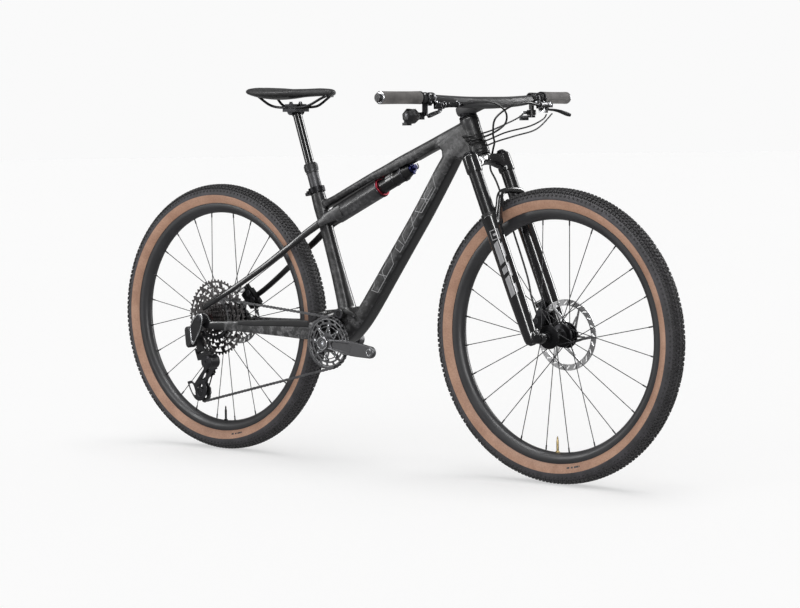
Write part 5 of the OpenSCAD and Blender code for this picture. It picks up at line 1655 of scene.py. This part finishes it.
def make_derailleur_cage():
    """The two cage plates with the near one's windowed wing, the pulley pins and the pulleys."""
    g, t = flat(GUIDE), flat(TENSION)
    wing, holes = spline(WING, 4)[:-1], [spline(points, 3)[:-1] for points in WING_HOLES]
    cage = [
        plate([wing, *holes], -53.4, -51.2, 0.7),
        plate([slot_loop((-640, 182), (-588, 240), 4.6, 6.0, 12)], -53.2, -50.2, 0.7),
        plate([slot_loop((-608, 188), (-562, 240), 5.4, 7.4, 12)], -53.2, -50.2, 0.7),
    ]
    for y0, y1, reach, width in ((-50.5, -47.5, 1.0, 11.8), (-36.5, -34.5, 0.12, 9.0)):
        opening = slot_loop(g + (t - g) * 0.2, g + (t - g) * 0.8, 7.6, 8.6, 14)
        loops = [slot_loop(g, t, 11.5, 13.6, 18), opening, circle_loop(g, 2.7, 24), circle_loop(t, 2.7, 24)]
        arm = slot_loop(g + (flat(CAGE) - g) * reach, g, width, 9.0, 14)
        cage.append(plate(loops, y0, y1, 0.6))
        cage.append(plate([arm, circle_loop(g, 2.7, 24)], y0 + 0.1, y1 - 0.1, 0.4))
    cage.append(pin(CAGE_AXIS, -66, -50.4, 6.0, sides=32))
    for p in (GUIDE, TENSION):
        m = np.array([p[0], 0, p[2]])
        cage.append(pin(m, -51.6, -34, 2.58, sides=24))
        cage.append(cap_screw(m + [0, -50.4, 0], (0, -1, 0), 4.6, 1.9))
    piece("derailleur_cage_plates", cage, dark_metal, "derail_cage", ("derailleur_cage",),
          angle=30)
    for name, p, teeth in (("guide_pulley", GUIDE, 12), ("tension_pulley", TENSION, 14)):
        r = pitch_r(teeth)
        loops = [gear_loop(teeth, tip=2.2, root=3.6), circle_loop((0, 0), 2.8, 24)]
        loops += [circle_loop(polar(r * 0.58, a), r * 0.17, 16) for a in spaced(7)]
        shapes = [
            moved(plate(loops, -0.9, 0.9, 0.25), shift(p[0], COG_Y, p[2])),
            tube_ring((p[0], COG_Y, p[2]), (0, 1, 0), -4, 4, 2.75, 7.8, 0.5, 48),
        ]
        piece(name + "_wheel", shapes, black_plastic, name, (name,), angle=30)
    ends = [rod(p + LINK_AXIS * s * 16.7, p + LINK_AXIS * s * 17.6, 4.4, chamfer=0.3, sides=24)
            for p in (LINK_A, LINK_B) for s in (-1, 1)]
    piece("derailleur_link_pins", ends, silver, "derail_link")


make_cassette()
make_cranks()
make_chainring()
make_chain()
make_derailleur_body()
make_derailleur_link()
make_derailleur_cage()


# ---------------------------------------------------------------- cockpit

SWEEP = 6.9
BAR_END = np.array([328.6, 392.0, 970.0])
POD = np.array([342.0, -283.0, 925.0])
BORE_R = 11.9
BAR = [
    [329, 388, 970, 11.1, 11.1, 2], [333, 360, 969.5, 11.1, 11.1, 2], [339, 310, 969, 11.1, 11.1, 2],
    [345, 260, 968, 11.1, 11.1, 2], [351, 205, 966, 12, 11.5, 2.1], [357, 150, 962, 15, 13, 2.3],
    [359, 95, 959, 20, 14, 2.5], [355, 45, 957.5, 27, 15, 2.6],
]
STEM = [
    [356, 0, 958, 27, 14, 3], [335, 0, 955, 24, 16, 3], [312, 0, 948, 21, 18, 3], [290, 0, 940, 20, 18, 3],
    [272, 0, 934, 16, 13, 3],
]
# A printed mark on the bar: from and to y, height, and width.
BAR_MARKS = ((84, 150, 966.5, 0.9), (96, 142, 963.6, 0.9), (104, 132, 960.8, 0.9), (84, 90, 962, 6))
GRIP_FOAM = [
    (6.6, 11.5), (6.6, 15.6), (7.2, 16), (12, 16), (30, 15.7), (70, 15.5), (110, 15.7), (130, 16),
    (137, 16), (138, 15.4), (138, 11.5),
]
GRIP_RING = [(3.4, 11.2), (3.4, 13.4), (4.2, 15.0), (5.6, 16.0), (6.5, 16.0), (6.5, 11.2)]
GRIP_PLUG = [
    (-3.9, 0.01), (-3.9, 3), (-3.2, 3.4), (-3.2, 8.4), (-3.7, 8.8), (-3.7, 9.6), (-2.6, 10.7), (-1, 11.1),
    (3.3, 11.1),
]
GRIP_COLLAR = [(138.1, 11.5), (138.1, 15.9), (138.7, 16.2), (141.8, 16.2), (142.4, 15.6), (142.4, 11.5)]
BRAKE_BARREL = [
    (-2.8, 0.01), (-2.8, 5.4), (-1.6, 7.4), (2, 7.9), (16, 7.9), (19, 7.2), (44, 7.0), (47, 7.9), (53, 7.9),
    (54.8, 6.6), (55.4, 5.0), (62.2, 4.9), (62.8, 4.2), (62.8, 0.01),
]
BRAKE_BLADE = [
    [36, 13, -29.6, 5.2, 2.6, 3], [38, 18, -30, 4.9, 2.9, 3], [44, 28, -31, 5, 3.2, 3],
    [49, 42, -34, 5, 3.9, 3], [48, 60, -38, 5.4, 4.8, 3], [47, 76, -42, 5.4, 5.2, 2.6],
    [48, 86, -44.6, 4.2, 4.3, 2.2],
]
# The seven-sided pod: y, radius and twist of each ring.
POD_RINGS = [
    (-303, 9.5, 0), (-301.5, 13.5, 0.1), (-293, 19.3, 0.1), (-284, 19.6, 0.1), (-272, 18.6, 0.4),
    (-264.5, 13.5, 0.62), (-261, 11.5, 0.62),
]


def on_bar(y, side):
    """Local axes of a clamp on the bar: x ahead, y along the bar, z up."""
    x = BAR_END[0] + (BAR_END[1] - y) * math.tan(math.radians(SWEEP))
    return shift(x, side * y, BAR_END[2] - 1.5) @ turn("Z", -side * SWEEP)


def make_bar():
    half = [[x, -y, *rest] for x, y, *rest in BAR] + [[353, 0, 957, 29, 15.5, 2.6]]
    shapes = [
        loft(there_and_back(half), (1, 0, 0), 48, 8), loft(STEM, sides=48, steps=8),
        moved(rod((0, 0, 626.6), (0, 0, 650.4), 19.3, chamfer=2, sides=64), steer_at),
    ]
    bar = fused("handlebar_skin", shapes, 1.7, 4, [bar_look], "steering", ("handlebar",))
    tree = BVHTree.FromObject(bar, bpy.context.evaluated_depsgraph_get())
    marks = []
    for side in (-1, 1):
        for y0, y1, z, width in BAR_MARKS:
            hits = [tree.ray_cast(Vector((600, side * y, z + d)) * MM, Vector((-1, 0, 0)))
                    for y in np.linspace(y0, y1, 14) for d in (width / 2, -width / 2)]
            points = [np.array(place + normal * 0.1 * MM) / MM for place, normal, _, _ in hits]
            quads = [(2 * k, 2 * k + 1, 2 * k + 3, 2 * k + 2)[::side] for k in range(13)]
            marks.append((np.array(points), quads))
    piece("handlebar_marks", marks, grey_ink, "steering")


def make_grips():
    inward = np.array([math.sin(math.radians(SWEEP)), -math.cos(math.radians(SWEEP)), 0])
    for name, profile, sides, closed, look, slot, stands_for in (
        ("grip_foam", GRIP_FOAM, 72, True, grip_rubber, "grip", ("grips",)),
        ("grip_end_rings", GRIP_RING, 64, True, silver, "anodised_black", ()),
        ("grip_plugs", GRIP_PLUG, 64, False, moulded, "plastic", ()),
        ("grip_collars", GRIP_COLLAR, 64, True, black_metal, "anodised_black", ()),
    ):
        shapes = both(lathe(BAR_END, inward, profile, sides, closed=closed))
        piece(name, shapes, look, "steering", stands_for)


def make_brake_controls():
    """The two brake masters on the bar, and their levers."""
    along = np.array([math.sin(math.radians(14)), -math.cos(math.radians(14)), 0])
    foot = np.array([42, 12, -16.3])
    shapes = (
        lathe(foot, along, BRAKE_BARREL, 40), tube_ring((0, -6, 0), (0, 1, 0), 0, 12, BORE_R, 14.9, 0.6,
                                                        56),
        block((11.5, -6, -19), (18, 6, -7)), block((12, -6, -27), (38, 6, -11)),
        block((28, 1, -24.4), (46, 23, -11.6)),
    )
    bores = (rod((0, -12, 0), (0, 12, 0), BORE_R, chamfer=0, sides=56),
             rod((35, 12, -40), (35, 12, -10.5), 2.5, chamfer=0, sides=24))
    screws = (
        cap_screw((17.8, 0, -10), (1, 0, 0.35), 2.9, 2.4), cap_screw((35, 12, -11.7), (0, 0, 1), 4.4, 1.0),
        cap_screw(foot + along * 50 + [0, 0, 7.6], (0, 0, 1), 2.6, 1.3),
    )
    bands = [lathe(foot, along, [
        (x, 6.6), (x, 8.1), (x + 0.5, 8.25), (x + 1.5, 8.25), (x + 2, 8.1), (x + 2, 6.6)], 48, closed=True)
        for x in (3.5, 49)]
    blade = loft(BRAKE_BLADE, (1, 0, 0), 36, 8, round_ends=2.2)
    hub = lathe((35, 12, -30.9), (0, 0, 1), [
        (0, 0.01), (0, 4.6), (0.8, 5.5), (5.3, 5.5), (6, 4.9), (6, 2.42), (18, 2.42), (18, 0.01)], 40)
    dimple = lathe((0, 0, 0), (0, 0, 1), [(0, 1.6), (0.35, 2.1), (0.35, 2.5), (0, 3.0)], 24, closed=True)
    dimples = [cap_screw((35, 12, -31), (0, 0, -1), 3.2, 0.61)]
    for place in ((48.6, 50, -31.4), (48, 64, -34.7)):
        dimples.append(moved(dimple, axes_at(place, (1, 0, 0), (0, 0.2, 1))))
    for name, mirror in (("right", True), ("left", False)):
        def placed(parts):
            parts = [moved(s, on_bar(216, 1)) for s in parts]
            return [mirrored(s) for s in parts] if mirror else parts

        lever = "brake_lever_" + name
        fused("brake_master_" + name, placed(shapes), 0.9, 5, [master_metal], "steering",
              ("brake_body_" + name,), cutters=placed(bores))
        piece("brake_screws_" + name, placed(screws), silver, "steering")
        piece("brake_banding_" + name, placed(bands), silver, "steering")
        piece("brake_blade_" + name, placed([blade, hub]), lever_metal, lever, (lever,),
              angle=40)
        piece("brake_blade_dimples_" + name, placed(dimples), grey_metal, lever)


def make_shifter():
    """The shift pod hanging from its clamp on the right side of the bar."""
    rings = []
    for y, r, twist in POD_RINGS:
        ring = [(POD[0] + r * math.cos(twist + a), y, POD[2] + r * math.sin(twist + a)) for a in spaced(7)]
        rings.append(np.array(ring))
    pocket = block((POD[0] - 24, POD[1] - 8, POD[2] - 30), (POD[0] - 2, POD[1] + 12, POD[2] - 6))
    piece("shifter_pod", [cut(skin(rings), pocket)], moulded, "steering", ("shifter_body",),
          edges=0.7, angle=12)
    clamp_at = on_bar(235, -1)
    arm = block((POD[0] - 6.5, POD[1] + 19, POD[2] - 9), (POD[0] + 6.5, POD[1] + 45.5, POD[2] + 9))
    clamp = [
        block((-6.5, -4.4, -43.5), (6.5, 4.4, -12)),
        tube_ring((0, -4.5, 0), (0, 1, 0), 0, 9, BORE_R, 15, 0.7, 56),
        block((11, -4.4, -18.6), (17.6, 4.4, -7.4)),
    ]
    bore = moved(rod((0, -12, 0), (0, 12, 0), BORE_R, chamfer=0, sides=56), clamp_at)
    fused("shifter_clamp", [arm, *[moved(s, clamp_at) for s in clamp]], 0.9, 5, [black_metal], "steering",
          cutters=(bore,))
    piece("shifter_trim", [
        lathe(POD + [2, -20.2, 1], (0, -1, 0), [(-1.5, 5.5), (0, 5.2), (0.3, 4.6), (0.3, 0.01)], 32),
        moved(cap_screw((17.5, 0, -10), (1, 0, 0.3), 2.8, 2.2), clamp_at),
        lathe(POD + [9, 0, 15.6], (0.5, 0, 0.86), [(0, 2.6), (1.2, 2.3), (1.2, 0.01)], 24),
    ], grey_metal, "steering")


def make_remote():
    """The suspension and post remote on the left side of the bar."""
    keep("shift_paddle", moulded, 1.6)
    keep("remote_body", moulded, 0.9)
    keep("remote_lever", lever_metal, 1.2)
    keep("lockout_lever", silver, 1.2)
    barrel = lathe((1, -26, -37), (0, -1, 0), [(0, 3.6), (4, 3.4), (5, 2.6), (8, 2.4), (8, 0.01)], 24)
    piece("remote_screws", [
        *[moved(cap_screw((17.8, 0, -10), (1, 0, 0.3), 2.8, 2.2), on_bar(y, 1)) for y in (200, 242)],
        *[moved(s, on_bar(200, 1)) for s in (cap_screw((1, 0, -30), (0, 0, 1), 4.6, 1.2), barrel)],
    ], silver, "steering")
    ribs_at = on_bar(200, 1) @ shift(1, 0, -44)
    ribs = [rod((-38.3, y, -12), (-38.3, y, -2), 0.7, chamfer=0.3, sides=12) for y in range(-3, 20, 3)]
    piece("remote_ribs", [moved(s, ribs_at) for s in ribs], black_plastic, "remote_lever")


make_bar()
make_grips()
make_brake_controls()
make_shifter()
make_remote()


# ---------------------------------------------------------------- saddle and sliding post

SADDLE = [
    [-159, 0, 990, 12, 7, 2.6], [-172, 0, 992, 18, 9.5, 2.6], [-215, 0, 993, 20, 11, 2.6],
    [-265, 0, 992, 27, 12, 2.4], [-310, 0, 990, 45, 14, 2.2], [-350, 0, 990.5, 63, 16, 2.2],
    [-385, 0, 993, 69, 15, 2.3], [-415, 0, 997, 64, 12, 2.4], [-430, 0, 999, 50, 8, 2.4],
]
SADDLE_RAIL = [
    (-174, 8, 983), (-192, 14, 975), (-225, 20, 959), (-250, 22, 954), (-292, 22, 954), (-335, 22, 954),
    (-365, 26, 961), (-392, 34, 980), (-402, 38, 989),
]
CRADLE = [
    (0, 5), (0, 10.6), (1.5, 12), (17, 12), (19, 10.5), (29, 10.5), (31, 12), (46.5, 12), (48, 10.6),
    (48, 5),
]


def make_saddle():
    """Padded cover with a shallow middle channel and a seam, over a hard shell with two rails."""
    v, f = loft(SADDLE, sides=96, steps=14, round_ends=3)
    for p in v:
        if p[2] > 992:
            along = np.clip((p[0] + 420) / 40, 0, 1) * np.clip((-205 - p[0]) / 40, 0, 1)
            p[2] -= 2.6 * along * math.exp(-((p[1] / 9.0) ** 2))
    under = block((-445, -80, 955), (-140, 80, 985.9))
    socket = block((-411, -43, 984), (-393, 43, 991.4))
    cover = new_object("saddle_pad", [cut((v, f), under, socket)], [saddle_skin])
    bevel(cover, 1.2, 3, 40)
    bake(cover)
    settle(cover, "dropper", ("saddle_cover",), 50)
    hull = loft([[x, y, z, a - 0.6, b, p] for x, y, z, a, b, p in SADDLE], sides=96, steps=14, round_ends=2)
    above = block((-445, -80, 985.5), (-140, 80, 1030))
    piece("saddle_base", [cut(hull, above)], shell_look, "dropper", ("saddle_shell",), edges=0.8)
    rows = spline(SADDLE, 6)[4:-5]
    seams = []
    for side in (-1, 1):
        line = [(x, side * (a * 0.86), z + b * (1 - 0.86 ** p) ** (1 / p) + 0.15)
                for x, _, z, a, b, p in rows]
        seams.append(sweep(line, 0.5, 8, 1))
    piece("saddle_seams", seams, black_plastic, "dropper")
    rear_blocks = [block((-409, y - 5.5, 985.2), (-395, y + 5.5, 990.8)) for y in (-38, 38)]
    nose_block = block((-177, -14, 979.2), (-168, 14, 985.2))
    piece("saddle_socket_blocks", [*rear_blocks, nose_block], moulded, "dropper", edges=1.0)
    piece("saddle_rail_pair", both(sweep(SADDLE_RAIL, 3.5, 20, 8)), rail_black, "dropper",
          ("saddle_rails",))


def make_post():
    """The gloss post with the bolts, cradle and rings of the saddle clamp on its head."""
    keep("saddle_clamp", black_metal, 1.6)
    keep("dropper_shaft", post_gloss, 0.5)
    seat = np.array([-293.0, 0.0, 957.0])
    bolts = []
    for x in (-17, 17):
        bolts.append(cap_screw(seat + [x, 0, 9.1], (0, 0, 1), 4.6, 2.6))
        bolts.append(tube_ring(seat + [x, 0, 5.6], (0, 0, 1), 0, 1.6, 2.7, 6.2, 0.4, 32))
    piece("saddle_clamp_bolts", bolts, grey_metal, "dropper")
    cradle = lathe(seat + [0, -24, -12.5], (0, 1, 0), CRADLE, 48, closed=True)
    piece("saddle_clamp_cradle", [cradle], black_metal, "dropper")
    rings = [band(post_at, z, z + 0.8, 14.2, 14.6, 0.2, 56) for z in (266, 268, 270)]
    piece("post_head_rings", rings, dark_metal, "dropper")


make_saddle()
make_post()


# ---------------------------------------------------------------- hoses and cables

REAR_HOSE = [
    (402, -159, 951.5), (407, -110, 957), (409, -40, 957), (403, 20, 935), (386, 43, 905), (368, 20, 882),
    (352, -18, 868), (334, -38, 863), (315, -28, 862),
]
FRONT_HOSE = [
    (402, 159, 951.5), (414, 100, 957), (417, 25, 947), (402, -20, 917), (382, -4, 879), (354, 38, 856),
    (338, 52, 835), (331, 50, 790), (360, 50, 735), (440, 50, 535), (462, 46, 465), (482, 41.5, 421),
]
SHOCK_CABLE = [
    (366, 248, 926), (371, 224, 913), (375, 160, 896), (366, 70, 881), (355, 6, 862), (343, -37, 855),
    (323, -25, 852.5),
]
POST_CABLE = [
    (349.5, 172.5, 931), (354, 140, 918), (362, 70, 901), (362, 2, 884), (335, -40, 873), (305, -26, 871),
]
FORK_CABLE = [(374, 262, 928), (388, 175, 889), (392, 75, 872), (388, -5, 857), (371, -60, 836.5)]
SHOCK_END = [(132, -3, 803), (134, 0, 794), (129.4, 1.3, 788)]


def cable(name, points, radius, body, replaces=()):
    """A round hose or cable, part of the bike at both ends."""
    piece(name, [sweep(points, radius, 20, 10)], hose_skin, body, replaces)


def make_cables():
    to_bar = ("frame", "steering", (335, -30, 864), (395, 60, 930))
    to_wheel = ("steering", "fork_lowers", (352, 50, 760), (470, 44, 450))
    cable("hose_rear_brake", REAR_HOSE, 2.5, to_bar, ("rear_brake_hose",))
    cable("cable_shock", SHOCK_CABLE, 2.0, to_bar, ("frame_cables",))
    cable("cable_post", POST_CABLE, 2.0, to_bar)
    cable("cable_shock_end", SHOCK_END, 1.5, "frame")
    cable("hose_front_brake", FRONT_HOSE, 2.5, to_wheel, ("front_brake_hose",))
    cable("cable_fork", FORK_CABLE, 2.0, "steering", ("fork_cable",))
    profile = [(0, 2.6), (0, 4.6), (3, 4.6), (3.4, 4.0), (7, 3.9), (8, 3.1), (12, 2.9), (12.4, 2.55)]
    nuts = []
    for points in (REAR_HOSE, FRONT_HOSE):
        start, following = np.array(points[0]), np.array(points[1])
        d = unit(following - start)
        nuts.append(lathe(start + d * 0.2, d, profile, 24, closed=True))
    piece("hose_nuts", nuts, black_metal, "steering")


make_cables()
